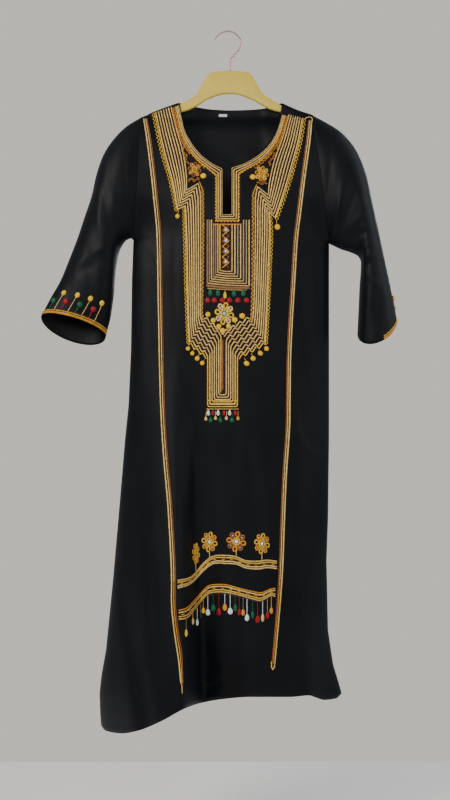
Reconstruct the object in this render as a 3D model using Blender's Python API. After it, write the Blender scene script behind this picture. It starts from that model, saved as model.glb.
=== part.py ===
"""Embroidered dress on a hanger. Metres, +Z up, front towards -Y.

The shapes are laid out in a front elevation whose unit is 2.1 mm in the plane
of the side seams. A point of the elevation is brought to its depth along the
line to a viewpoint 2.1 m in front, so that near folds keep their outline.
"""
import math

import bpy
import numpy as np
from mathutils import Vector
from mathutils.bvhtree import BVHTree

UNIT = 0.0021
FAR = 2.1
EYE = np.array((-4 * UNIT, -FAR, -368 * UNIT))
WALL = 0.0015
LIFT = 0.00045


def world(px, py, y):
    k = (FAR + y) / FAR
    return np.array((EYE[0] + (px - 225) * UNIT * k, y, EYE[2] - (py - 400) * UNIT * k))


def tab(t, rows):
    """Smooth interpolation in a two-column table."""
    xs = [r[0] for r in rows]
    ys = [r[1] for r in rows]
    n = len(xs)
    if t <= xs[0]:
        return ys[0]
    if t >= xs[-1]:
        return ys[-1]
    sl = [(ys[i + 1] - ys[i]) / (xs[i + 1] - xs[i]) for i in range(n - 1)]
    i = max(k for k in range(n - 1) if xs[k] <= t)

    def tan(k):
        if k == 0:
            return sl[0]
        if k == n - 1:
            return sl[-1]
        if sl[k - 1] * sl[k] <= 0:
            return 0.0
        return 2 * sl[k - 1] * sl[k] / (sl[k - 1] + sl[k])

    h = xs[i + 1] - xs[i]
    u = (t - xs[i]) / h
    a, b = tan(i) * h, tan(i + 1) * h
    return (ys[i] * (2 * u ** 3 - 3 * u ** 2 + 1) + a * (u ** 3 - 2 * u ** 2 + u)
            + ys[i + 1] * (3 * u ** 2 - 2 * u ** 3) + b * (u ** 3 - u ** 2))


def line(t, rows):
    return float(np.interp(t, [r[0] for r in rows], [r[1] for r in rows]))


def step(u):
    u = min(1.0, max(0.0, u))
    return u * u * (3 - 2 * u)


# outline of the body: level y, edge x
LEFT = [(100, 142.07), (117.5, 141), (240, 133.5), (280, 132), (350, 131), (405, 128.6), (440, 125),
        (500, 120), (580, 113), (650, 106), (675, 101.5), (693, 99.6), (715, 100.3), (735, 102)]
RIGHT = [(100, 311.07), (115.5, 313), (243.7, 329), (280, 329), (400, 329), (437, 329), (520, 328),
         (560, 326.5), (630, 328), (664, 333), (682.7, 338.7), (693, 341.6), (715, 342.5), (735, 343)]
# upper and lower edges of the panels: x, level y
CREST = [(141, 117.5), (147, 115), (153, 112), (165, 107.4), (178, 102.8), (230, 102.8), (282, 103),
         (290, 106.6), (297, 109.7), (313, 115)]
TOP_FRONT = [(141, 117.5), (147, 115), (153, 112), (165, 107.4), (178, 102.8), (179.5, 104),
             (181.7, 115.5), (184.8, 128.3), (191.2, 140.6), (201.4, 153.4), (212.9, 162.3), (223, 167.3),
             (231, 166.4), (239.7, 163.7), (252.4, 157.2), (265, 147.1), (274, 134.3), (278.6, 122),
             (280.5, 112.4), (282, 103), (290, 106.6), (297, 109.7), (313, 115)]
TOP_BACK = [(141, 117.5), (147, 115), (153, 112), (165, 107.4), (178, 102.8), (184, 104), (195, 107),
            (212, 109.6), (230, 110.5), (250, 110), (265, 108.5), (275, 105.6), (282, 103),
            (290, 106.6), (297, 109.7), (313, 115)]
HEM_FRONT = [(99, 720), (102, 727), (106, 731), (122, 733.5), (137, 731), (160.7, 721.5), (185, 708.5),
             (201, 703), (224, 699), (250, 697), (290, 697), (309, 695.5), (317, 698), (324, 700),
             (336, 698.5), (343, 692)]
HEM_BACK = [(99, 720), (122, 721), (160, 712), (200, 701), (250, 694), (300, 692), (324, 694), (343, 692)]
ARM_DEPTH = 0.036
# folds and body depths: level y, metres
FOLD_LEFT = [(290, 0), (360, 0.007), (420, 0.024), (500, 0.046), (600, 0.075), (735, 0.105)]
FOLD_MID = [(330, 0), (420, 0.006), (520, 0.015), (620, 0.028), (720, 0.034)]
FOLD_RIGHT = [(370, 0), (450, 0.011), (560, 0.018), (700, 0.03)]
FRONT_DEPTH = [(300, 0.050), (400, 0.053), (500, 0.058), (600, 0.066), (735, 0.076)]
BACK_DEPTH = [(250, 0.040), (400, 0.047), (500, 0.054), (600, 0.062), (735, 0.072)]


def left(py):
    return line(py, LEFT)


def right(py):
    return line(py, RIGHT)


def arm_open(px, py):
    """Half depth of the armhole loop, shared between both sides of a level."""
    tl = min(1.0, max(0.0, (py - 117.5) / 122.5))
    tr = min(1.0, max(0.0, (py - 115.5) / 128.2))
    el = 2 * ARM_DEPTH * math.sqrt(tl * (1 - tl))
    er = 2 * ARM_DEPTH * math.sqrt(tr * (1 - tr))
    s = (px - left(py)) / (right(py) - left(py))
    return max(0.00015, el + (er - el) * s)


def across(px, py):
    s = 2 * (px - left(py)) / (right(py) - left(py)) - 1
    return max(0.0, 1 - s * s)


def depth(px, py, crest, chest):
    q = (py - crest) * UNIT
    r = 0.0078
    d = math.sqrt(max(0.0, r * r - max(0.0, r - q) ** 2)) if q < r else r
    grow = (chest - r) * step((q - r) / 0.24)
    e = max(arm_open(px, py), d * (1 - step((q - 0.02) / 0.05)))
    d = max(d + grow, e, 0.00015)
    ex = 1.0 - 0.47 * step((py - 190) / 90)
    # inside the panel the armhole's depth fades out before the armpit
    near = (1 - across(px, py)) ** 6
    e = e * (near + (1 - near) * (1 - step((py - 190) / 52)))
    return e + (d - e) * across(px, py) ** ex


def front_y(px, py):
    a = math.sqrt(across(px, py))
    y = depth(px, py, line(px, CREST), tab(py, FRONT_DEPTH))
    lo = tab(py, [(400, 170), (500, 174), (600, 177), (735, 181)])
    hi = tab(py, [(400, 196), (500, 200), (600, 204), (735, 206)])
    big = 1 - step((px - lo) / (hi - lo))
    big *= 0.55 + 0.45 * step((px - left(py)) / 40)
    valley = math.exp(-((px - 128 - (py - 592) * 0.14) / 9.0) ** 2) * step((py - 540) / 130)
    y += a * tab(py, FOLD_LEFT) * (big - 0.13 * valley)
    y += tab(py, FOLD_MID) * math.exp(-abs((px - 235) / (22 if px < 235 else 26)) ** 2.4)
    c = tab(py, [(400, 293), (450, 300), (560, 304), (700, 307)])
    y += a * tab(py, FOLD_RIGHT) * math.exp(-((px - c) / 15.0) ** 2)
    return -y


def back_y(px, py):
    a = math.sqrt(across(px, py))
    y = depth(px, py, line(px, CREST), tab(py, BACK_DEPTH))
    neck = step((px - 180) / 22) * step((281 - px) / 22) * step((175 - py) / 60)
    y += 0.020 * neck
    f = step((py - 330) / 380)
    y += a * f * 0.034 * math.exp(-((px - 165 + (py - 700) * 0.05) / 22.0) ** 2)
    y += a * f * 0.030 * math.exp(-((px - 280 - (py - 700) * 0.02) / 20.0) ** 2)
    y += a * f * 0.010 * math.cos((px - 222) / 12.0) * math.exp(-((px - 222) / 34.0) ** 2)
    return y


def unit_rows(v):
    n = np.linalg.norm(v, axis=-1, keepdims=True)
    return v / np.maximum(n, 1e-12)


def new_object(name, verts, faces):
    mesh = bpy.data.meshes.new(name)
    mesh.from_pydata([tuple(map(float, v)) for v in verts], [], [tuple(map(int, f)) for f in faces])
    mesh.validate()
    mesh.update()
    obj = bpy.data.objects.new(name, mesh)
    bpy.context.scene.collection.objects.link(obj)
    return obj


def wall_solid(name, outer, inner, tris):
    """Closed wall from an outer and an inner point set that share triangles."""
    used = sorted({i for t in tris for i in t})
    index = {v: k for k, v in enumerate(used)}
    n = len(used)
    verts = [outer[i] for i in used] + [inner[i] for i in used]
    faces = []
    edges = {}
    for t in tris:
        a, b, c = (index[i] for i in t)
        faces.append((a, b, c))
        faces.append((c + n, b + n, a + n))
        for e in ((a, b), (b, c), (c, a)):
            edges[e] = True
    for a, b in list(edges):
        if (b, a) not in edges:
            faces.append((b, a, a + n))
            faces.append((b, a + n, b + n))
    return new_object(name, verts, faces)


class Surface:
    """Outer triangles of a cloth with smooth normals, to lay pieces on."""

    def __init__(self, pts, normals, tris):
        self.pts, self.normals, self.tris = pts, normals, tris
        self.tree = BVHTree.FromPolygons([tuple(p) for p in pts], [tuple(t) for t in tris])

    def smooth(self, loc, k):
        a, b, c = (self.pts[i] for i in self.tris[k])
        v0, v1, v2 = b - a, c - a, np.array(loc) - a
        d00, d01, d11 = v0 @ v0, v0 @ v1, v1 @ v1
        d20, d21 = v2 @ v0, v2 @ v1
        den = d00 * d11 - d01 * d01
        v = (d11 * d20 - d01 * d21) / den
        w = (d00 * d21 - d01 * d20) / den
        na, nb, nc = (self.normals[i] for i in self.tris[k])
        m = na * (1 - v - w) + nb * v + nc * w
        return m / np.linalg.norm(m)

    def hit(self, px, py):
        d = world(px, py, 0.0) - EYE
        d /= np.linalg.norm(d)
        loc, _, k, _ = self.tree.ray_cast(Vector(EYE), Vector(d), 4.0)
        if loc is None:
            raise ValueError("no cloth at %.1f %.1f" % (px, py))
        return np.array(loc), self.smooth(loc, k)

    def clear(self, p):
        loc, nor, _, dist = self.tree.find_nearest(Vector(p))
        return math.copysign(dist, (Vector(p) - loc).dot(nor))


def grid_tris(rows, cols, keep=None, flip=False):
    out = []
    for j in range(rows - 1):
        for i in range(cols - 1):
            if keep and not keep(j, i):
                continue
            a, b = j * cols + i, j * cols + i + 1
            c, d = (j + 1) * cols + i + 1, (j + 1) * cols + i
            pair = [(a, d, c), (a, c, b)]
            if flip:
                pair = [t[::-1] for t in pair]
            out += pair
    return out


def vertex_normals(pts, tris):
    acc = np.zeros_like(pts)
    for a, b, c in tris:
        n = np.cross(pts[b] - pts[a], pts[c] - pts[a])
        acc[a] += n
        acc[b] += n
        acc[c] += n
    return unit_rows(acc)


def column(a, py, side):
    if side < 0:
        return left(py) + (223 - left(py)) * a
    if side > 0:
        return 231 + (right(py) - 231) * a
    return 0.0


def settle(fn, edge, start):
    py = start
    for _ in range(30):
        py = py + 0.6 * (line(fn(py), edge) - py)
    return py


COL_L = [0, 0.015, 0.055, 0.12, 0.20, 0.29, 0.38, 0.463, 0.497, 0.54, 0.60, 0.67, 0.74, 0.81, 0.90, 1.0]
COL_R = [0, 0.11, 0.22, 0.33, 0.44, 0.53, 0.622, 0.70, 0.78, 0.86, 0.94, 0.985, 1.0]


def panel(name, fn, top, hem, cols, slit, front, steps, drops):
    """One body panel. cols: (side, share) per column."""
    levels = []
    for side, a in cols:
        f = lambda py, s=side, a=a: column(a, py, s)
        t = settle(f, top, 130.0)
        b = settle(f, hem, 715.0)
        up = [t, t + 1.2, t + 3.2, t + 6.5]
        mid = [up[-1] + (213.7 - up[-1]) * k / steps for k in range(1, steps + 1)]
        low = [227.0, 240.0]
        ends = [240 + (b - 240) * k / drops for k in range(1, drops + 1)]
        levels.append(up + mid + low + ends)
    rows = len(levels[0])
    n = len(cols)
    pts = np.zeros((rows * n, 3))
    for i, (side, a) in enumerate(cols):
        for j in range(rows):
            py = levels[i][j]
            px = column(a, py, side)
            pts[j * n + i] = world(px, py, fn(px, py))
            t = levels[i][0]
            if j < 3 and t - line(column(a, t, side), CREST) < 0.8:
                turn = math.radians((0, 34, 68)[j])
                drop = 0.0078 * (1 - math.cos(turn))
                px = column(a, t + drop / UNIT, side)
                y = 0.00015 if j == 0 else max(arm_open(px, t + drop / UNIT), 0.0078 * math.sin(turn))
                top_z = world(px, t, 0.0)[2] - 0.0003
                y = -y if front else y
                pts[j * n + i] = (world(px, t, y)[0], y, top_z - drop)
    cut = [i for i in range(n - 1) if cols[i][0] < 0 < cols[i + 1][0]][0] if slit else -1
    keep = (lambda j, i: not (i == cut and j < 3 + steps)) if slit else None
    tris = grid_tris(rows, n, keep, flip=not front)
    nor = vertex_normals(pts, tris)
    # the seam edges look along their own plane, so that neighbours stay parted
    inner = np.zeros_like(pts)
    sgn = 1.0 if front else -1.0
    for j in range(rows):
        for i in range(n):
            k = j * n + i
            m = nor[k].copy()
            if j == rows - 1:
                m[2] = 0
                m /= np.linalg.norm(m)
            if i in (0, n - 1):
                turn = min(WALL, max(0.0, abs(pts[k][1]) - 0.00018))
                m = np.array(((-1 if i == 0 else 1) * math.sqrt(WALL ** 2 - turn ** 2), -sgn * turn, 0)) / WALL
            elif j == 0 and abs(pts[k][1]) < 0.0005:
                m = np.array((0.0, 0.0, 1.0))
            inner[k] = pts[k] - m * WALL
            if abs(pts[k][1]) > 0.00014:
                lim = 0.00014
                if front:
                    inner[k][1] = min(inner[k][1], -lim)
                else:
                    inner[k][1] = max(inner[k][1], lim)
    # the cloth is stored in a chest part, a waist part and a skirt part
    split = 3 + steps
    chest = [t for t in tris if max(t) // n <= split]
    lower = [t for t in tris if min(t) // n >= split]
    parts = [("_top", chest)]
    if slit:
        parts = [("_top_left", [t for t in chest if max(k % n for k in t) <= cut]),
                 ("_top_right", [t for t in chest if min(k % n for k in t) > cut])]
    for suffix, some in parts:
        wall_solid(name + suffix, pts, inner, some)
    half = split + 2 + drops // 2
    for suffix, first, some in (("", split, [t for t in lower if max(t) // n <= half]),
                                ("_skirt", half, [t for t in lower if min(t) // n >= half])):
        moved = []
        for skin in (pts, inner):
            skin = skin.copy()
            row = slice(first * n, (first + 1) * n)
            skin[row] += 0.0003 * unit_rows(skin[(first + 1) * n:(first + 2) * n] - skin[row])
            moved.append(skin)
        wall_solid(name + suffix, *moved, some)
    return Surface(pts, nor, tris), inner, tris


def tube_rings(rings, count):
    """Sleeve rings from (outer x, y, inner x, y, depth, middle, front drop, back drop)."""
    t = np.linspace(0, len(rings) - 1, count)
    table = np.array(rings, float)
    cols = [[tab(u, list(zip(range(len(rings)), table[:, c]))) for u in t] for c in range(table.shape[1])]
    return np.array(cols).T


def sleeve(name, rings, count, sides, side):
    rows = tube_rings(rings, count)
    pts = []
    for j, (ox, oy, ix, iy, h, mid, df, db) in enumerate(rows):
        for i in range(sides):
            ph = 2 * math.pi * i / sides
            c, s = math.cos(ph), math.sin(ph)
            px = (ox + ix) / 2 + (ox - ix) / 2 * c
            py = (oy + iy) / 2 + (oy - iy) / 2 * c
            py += (df * s if s > 0 else db * -s)
            pts.append(world(px, py, mid - h * s))
    pts = np.array(pts)
    pts[:sides, 0] += side * 0.0005
    tris = []
    for j in range(count - 1):
        for i in range(sides):
            a, b = j * sides + i, j * sides + (i + 1) % sides
            c, d = a + sides, b + sides
            pair = [(a, c, d), (a, d, b)]
            if side > 0:
                pair = [p[::-1] for p in pair]
            tris += pair
    nor = vertex_normals(pts, tris)
    nor[:sides, 0] = 0
    nor[:sides] = unit_rows(nor[:sides])
    inner = pts - nor * WALL
    return wall_solid(name, pts, inner, tris), Surface(pts, nor, tris)


class Relief:
    """Flat mesh in the elevation whose points carry a height over the cloth."""

    def __init__(self):
        self.at, self.key, self.tris = [], {}, []

    def point(self, x, y, h):
        k = (round(x, 3), round(y, 3))
        if k not in self.key:
            self.key[k] = len(self.at)
            self.at.append([x, y, h])
        return self.key[k]

    def tri(self, a, b, c):
        if len({a, b, c}) < 3:
            return
        (ax, ay, _), (bx, by, _), (cx, cy, _) = self.at[a], self.at[b], self.at[c]
        area = (bx - ax) * (cy - ay) - (by - ay) * (cx - ax)
        self.tris.append((a, c, b) if area > 0 else (a, b, c))

    def quad(self, a, b, c, d):
        self.tri(a, b, c)
        self.tri(a, c, d)

    def ribbon(self, pairs, gap, heights):
        """Band between two edge lines, with rows at each pair and at most gap apart."""
        rows = []
        for (p, q), (p2, q2) in zip(pairs, pairs[1:]):
            far = max(math.dist(p, p2), math.dist(q, q2))
            n = max(1, round(far / gap))
            for k in range(n):
                u = k / n
                rows.append((np.array(p) * (1 - u) + np.array(p2) * u, np.array(q) * (1 - u) + np.array(q2) * u))
        rows.append((np.array(pairs[-1][0]), np.array(pairs[-1][1])))
        m = len(heights)
        ids = [[self.point(*(a + (b - a) * i / (m - 1)), heights[i]) for i in range(m)] for a, b in rows]
        for r, s in zip(ids, ids[1:]):
            for i in range(m - 1):
                self.quad(r[i], r[i + 1], s[i + 1], s[i])
        return ids

    def drop(self, x, y, tx, ty, rx, ry, h=0.0032):
        """Stem from a strip edge at (x, y) to a six-sided bead at (tx, ty)."""
        d = np.array((tx - x, ty - y), float)
        d /= np.linalg.norm(d)
        n = np.array((-d[1], d[0]))
        c = np.array((tx, ty), float)
        w = 0.45
        foot = np.array((x, y), float)
        s0, s1 = foot - n * w, foot + n * w
        t0, t1 = c - d * ry - n * w, c - d * ry + n * w
        ids = [self.point(*s0, 0.0010), self.point(*s1, 0.0010)]
        a, b = self.point(*t0, 0.0010), self.point(*t1, 0.0010)
        self.quad(ids[0], ids[1], b, a)
        ring = [b, self.point(*(c + n * rx - d * 0.15 * ry), h * 0.5), self.point(*(c + n * rx * 0.55 + d * ry), h * 0.45),
                self.point(*(c - n * rx * 0.55 + d * ry), h * 0.45), self.point(*(c - n * rx - d * 0.15 * ry), h * 0.5), a]
        mid = self.point(*c, h)
        for k in range(6):
            self.tri(ring[k], ring[(k + 1) % 6], mid)
        return ids

    def comb(self, a, b, drops, lead=(0, 1)):
        """Narrow strip from a to b (both edges given) with stems on its far edge."""
        a0, b0 = np.array(a, float), np.array(b, float)
        d = b0 - a0
        length = np.linalg.norm(d)
        d /= length
        lead = np.array(lead, float)
        marks = [0.0, length]
        feet = []
        for x, y, rx, ry, h in drops:
            u = float(np.dot(np.array((x, y)) - a0, d) - np.dot(lead, d) * 0)
            u = min(length - 0.5, max(0.5, u))
            feet.append(u)
            marks += [u - 0.45, u + 0.45]
        marks = sorted({round(m, 4) for m in marks})
        wide = 0.9
        up = [self.point(*(a0 + d * m), 0.0010) for m in marks]
        dn = [self.point(*(a0 + d * m + lead * wide), 0.0010) for m in marks]
        for k in range(len(marks) - 1):
            self.quad(up[k], up[k + 1], dn[k + 1], dn[k])
        for (x, y, rx, ry, h), u in zip(drops, feet):
            self.bead(dn[marks.index(round(u - 0.45, 4))], dn[marks.index(round(u + 0.45, 4))], x, y, rx, ry, h)

    def bead(self, s0, s1, x, y, rx, ry, h):
        p0, p1 = np.array(self.at[s0][:2]), np.array(self.at[s1][:2])
        c = np.array((x, y), float)
        d = c - (p0 + p1) / 2
        d /= np.linalg.norm(d)
        n = np.array((-d[1], d[0]))
        if np.dot(p1 - p0, n) < 0:
            s0, s1 = s1, s0
        neck = c - d * ry
        a, b = self.point(*(neck - n * 0.45), 0.0011), self.point(*(neck + n * 0.45), 0.0011)
        self.quad(s0, s1, b, a)
        ring = [b, self.point(*(c + n * rx), h * 0.5), self.point(*(c + n * rx * 0.55 + d * ry), h * 0.45),
                self.point(*(c - n * rx * 0.55 + d * ry), h * 0.45), self.point(*(c - n * rx), h * 0.5), a]
        mid = self.point(*c, h)
        for k in range(6):
            self.tri(ring[k], ring[(k + 1) % 6], mid)

    def rosette(self, x, y, rx, ry, lobes=8, h=0.003):
        mid = self.point(x, y, h * 1.35)
        inner, outer = [], []
        for k in range(lobes * 2):
            a = math.pi * k / lobes + 0.2
            f = 1.0 if k % 2 == 0 else 0.80
            inner.append(self.point(x + rx * 0.45 * math.cos(a), y + ry * 0.45 * math.sin(a), h * (0.9 if k % 2 else 0.7)))
            outer.append(self.point(x + rx * f * math.cos(a), y + ry * f * math.sin(a), h * (0.55 if k % 2 == 0 else 0.4)))
        n = lobes * 2
        for k in range(n):
            self.tri(mid, inner[k], inner[(k + 1) % n])
            self.quad(inner[k], outer[k], outer[(k + 1) % n], inner[(k + 1) % n])
        return outer

    def solid(self, name, place, surface, lift=LIFT, away=None):
        base, up = [], []
        for x, y, _ in self.at:
            p, n = place(x, y)
            base.append(p)
            up.append(n)
        base, up = np.array(base), np.array(up)
        low = base + up * lift
        steps = [k / 6 for k in range(7)]
        share = [(a, b, max(0.0, 1 - a - b)) for a in steps for b in steps if a + b <= 1.001]
        for _ in range(16):
            need = np.zeros(len(low))
            for t in self.tris:
                tri = low[list(t)]
                for w in share:
                    lack = 0.00027 - surface.clear(np.array(w) @ tri)
                    if lack > 0:
                        for v, wv in zip(t, w):
                            if wv > 0.1:
                                need[v] = max(need[v], lack)
            if need.max() < 1e-6:
                break
            low = low + up * need[:, None] * 1.05
        high = low + up * np.array([p[2] for p in self.at])[:, None]
        return wall_solid(name, high, low, self.tris)


def tube(name, pts, radius, sides):
    pts = [np.array(p, float) for p in pts]
    verts, faces = [], []
    side = np.array((0.0, 1.0, 0.0))
    for k, p in enumerate(pts):
        d = pts[min(k + 1, len(pts) - 1)] - pts[max(k - 1, 0)]
        d /= np.linalg.norm(d)
        other = np.cross(d, side)
        for i in range(sides):
            a = 2 * math.pi * i / sides
            verts.append(p + radius * (math.cos(a) * side + math.sin(a) * other))
    n = len(pts)
    for k in range(n - 1):
        for i in range(sides):
            a, b = k * sides + i, k * sides + (i + 1) % sides
            faces.append((a, b, b + sides, a + sides))
    faces.append(tuple(range(sides))[::-1])
    faces.append(tuple((n - 1) * sides + i for i in range(sides)))
    return new_object(name, verts, faces)


def curve_points(ctrl, count):
    """Catmull-Rom through control points, evenly sampled by length."""
    c = [np.array(p, float) for p in ctrl]
    c = [2 * c[0] - c[1]] + c + [2 * c[-1] - c[-2]]
    dense = []
    for k in range(1, len(c) - 2):
        for u in np.linspace(0, 1, 16, endpoint=False):
            p0, p1, p2, p3 = c[k - 1], c[k], c[k + 1], c[k + 2]
            dense.append(0.5 * (2 * p1 + (p2 - p0) * u + (2 * p0 - 5 * p1 + 4 * p2 - p3) * u * u
                                + (3 * p1 - p0 - 3 * p2 + p3) * u ** 3))
    dense.append(c[-2])
    dense = np.array(dense)
    cum = np.concatenate([[0], np.cumsum(np.linalg.norm(np.diff(dense, axis=0), axis=1))])
    at = np.linspace(0, cum[-1], count)
    return np.stack([np.interp(at, cum, dense[:, i]) for i in range(dense.shape[1])], axis=1)


def hanger():
    pairs = [((144.5, 117.2), (145.5, 121.6)), ((153, 113.2), (154.5, 119.6)), ((165, 108.6), (168, 116.2)),
             ((179, 104.9), (182.7, 112.2)), ((188.5, 99.9), (192, 108.9)), ((196.3, 94.6), (200, 104.3)),
             ((200, 88), (206.5, 100.2)), ((203.4, 81.5), (212, 97.8)), ((207.4, 75.8), (217, 96)),
             ((212.4, 72.4), (222, 94.8)), ((221, 71.4), (226.5, 94.2)), ((230, 71.3), (230.5, 94)),
             ((239, 71.4), (234.5, 94.2)), ((247.6, 72.4), (239.5, 95.2)), ((252.2, 75.8), (244.5, 96.9)),
             ((255.7, 81.5), (250, 99.2)), ((258.9, 88), (255, 101.4)), ((264, 94.6), (261.5, 105.2)),
             ((272, 99.6), (270, 109.6)), ((281.5, 105.6), (279.5, 112.4)), ((290, 108.9), (289, 115.6)),
             ((297, 110.9), (297, 118.2)), ((305, 113.6), (305, 120)), ((310.0, 115.5), (309.7, 120.4))]
    half = 0.0038
    verts, faces = [], []
    m = 0
    for u, l in pairs:
        a, b = world(*u, 0.0), world(*l, 0.0)
        h = np.linalg.norm(b - a)
        d = (b - a) / h
        cut = 0.0046
        prof = [(0.0, 0.0), (0.68, 0.22), (1.0, 0.9)]
        sec = []
        for fy, fz in prof:
            sec.append((fy * half, fz * cut))
        sec2 = [(y, h - z) for y, z in reversed(sec)]
        loop = sec + sec2
        loop = loop + [(-y, z) for y, z in reversed(loop) if y > 0]
        m = len(loop)
        for y, z in loop:
            verts.append(a + d * z + np.array((0, y, 0)))
    n = len(pairs)
    for k in range(n - 1):
        for i in range(m):
            a, b = k * m + i, k * m + (i + 1) % m
            faces.append((a, a + m, b + m, b))
    faces.append(tuple(range(m)))
    faces.append(tuple((n - 1) * m + i for i in range(m))[::-1])
    return new_object("hanger", verts, faces)


def orient(obj):
    """Turn a closed mesh's faces outward."""
    mesh = obj.data
    mesh.calc_loop_triangles()
    vol = 0.0
    for t in mesh.loop_triangles:
        a, b, c = (mesh.vertices[i].co for i in t.vertices)
        vol += a.dot(b.cross(c)) / 6
    if vol < 0:
        mesh.flip_normals()
    return obj


# sleeve rings: outer x, outer y, inner x, inner y, half depth, middle depth, front drop, back drop
LEFT_RINGS = [(141, 117.5, 133.5, 240, 0.0360, 0.0, 0, 0), (127, 126, 130.6, 238.6, 0.043, -0.001, 0, 0),
              (114.8, 137.8, 126.3, 240.5, 0.046, -0.003, 0, 0), (103.3, 155, 120, 250.5, 0.046, -0.006, 0, 0),
              (96, 176, 117.5, 261, 0.045, -0.009, 0, 0), (91.8, 195, 115.9, 271.5, 0.044, -0.012, 0, 0),
              (84.5, 217, 115, 282, 0.042, -0.014, 0, 0), (77.5, 238, 114.2, 293, 0.040, -0.016, 0, 0),
              (69, 260, 112.5, 306, 0.037, -0.018, 0, 0), (60.3, 281, 110.5, 318.6, 0.033, -0.020, -2, 3),
              (51, 297.5, 108, 328, 0.029, -0.022, -5, 8), (41.0, 317, 105.8, 336.5, 0.026, -0.024, -9, 15.6)]
RIGHT_RINGS = [(313, 115.5, 329, 243.7, 0.0360, 0.0, 0, 0), (328, 123.5, 334.8, 246.6, 0.043, -0.001, 0, 0),
               (341.6, 132.4, 341.5, 249.6, 0.047, -0.003, 0, 0), (355.9, 149.3, 350.7, 252.6, 0.047, -0.006, 0, 0),
               (366, 173, 358.2, 256.6, 0.046, -0.008, 0, 0), (373, 204, 360.9, 263, 0.045, -0.010, 0, 0),
               (380, 236, 360.6, 272, 0.044, -0.012, 0, 0), (386.5, 267, 359.6, 285, 0.044, -0.013, 1, 0),
               (392.7, 297, 358.6, 307, 0.044, -0.014, 5, 0), (397, 322, 357.3, 334, 0.045, -0.015, 15, 2)]


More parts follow.
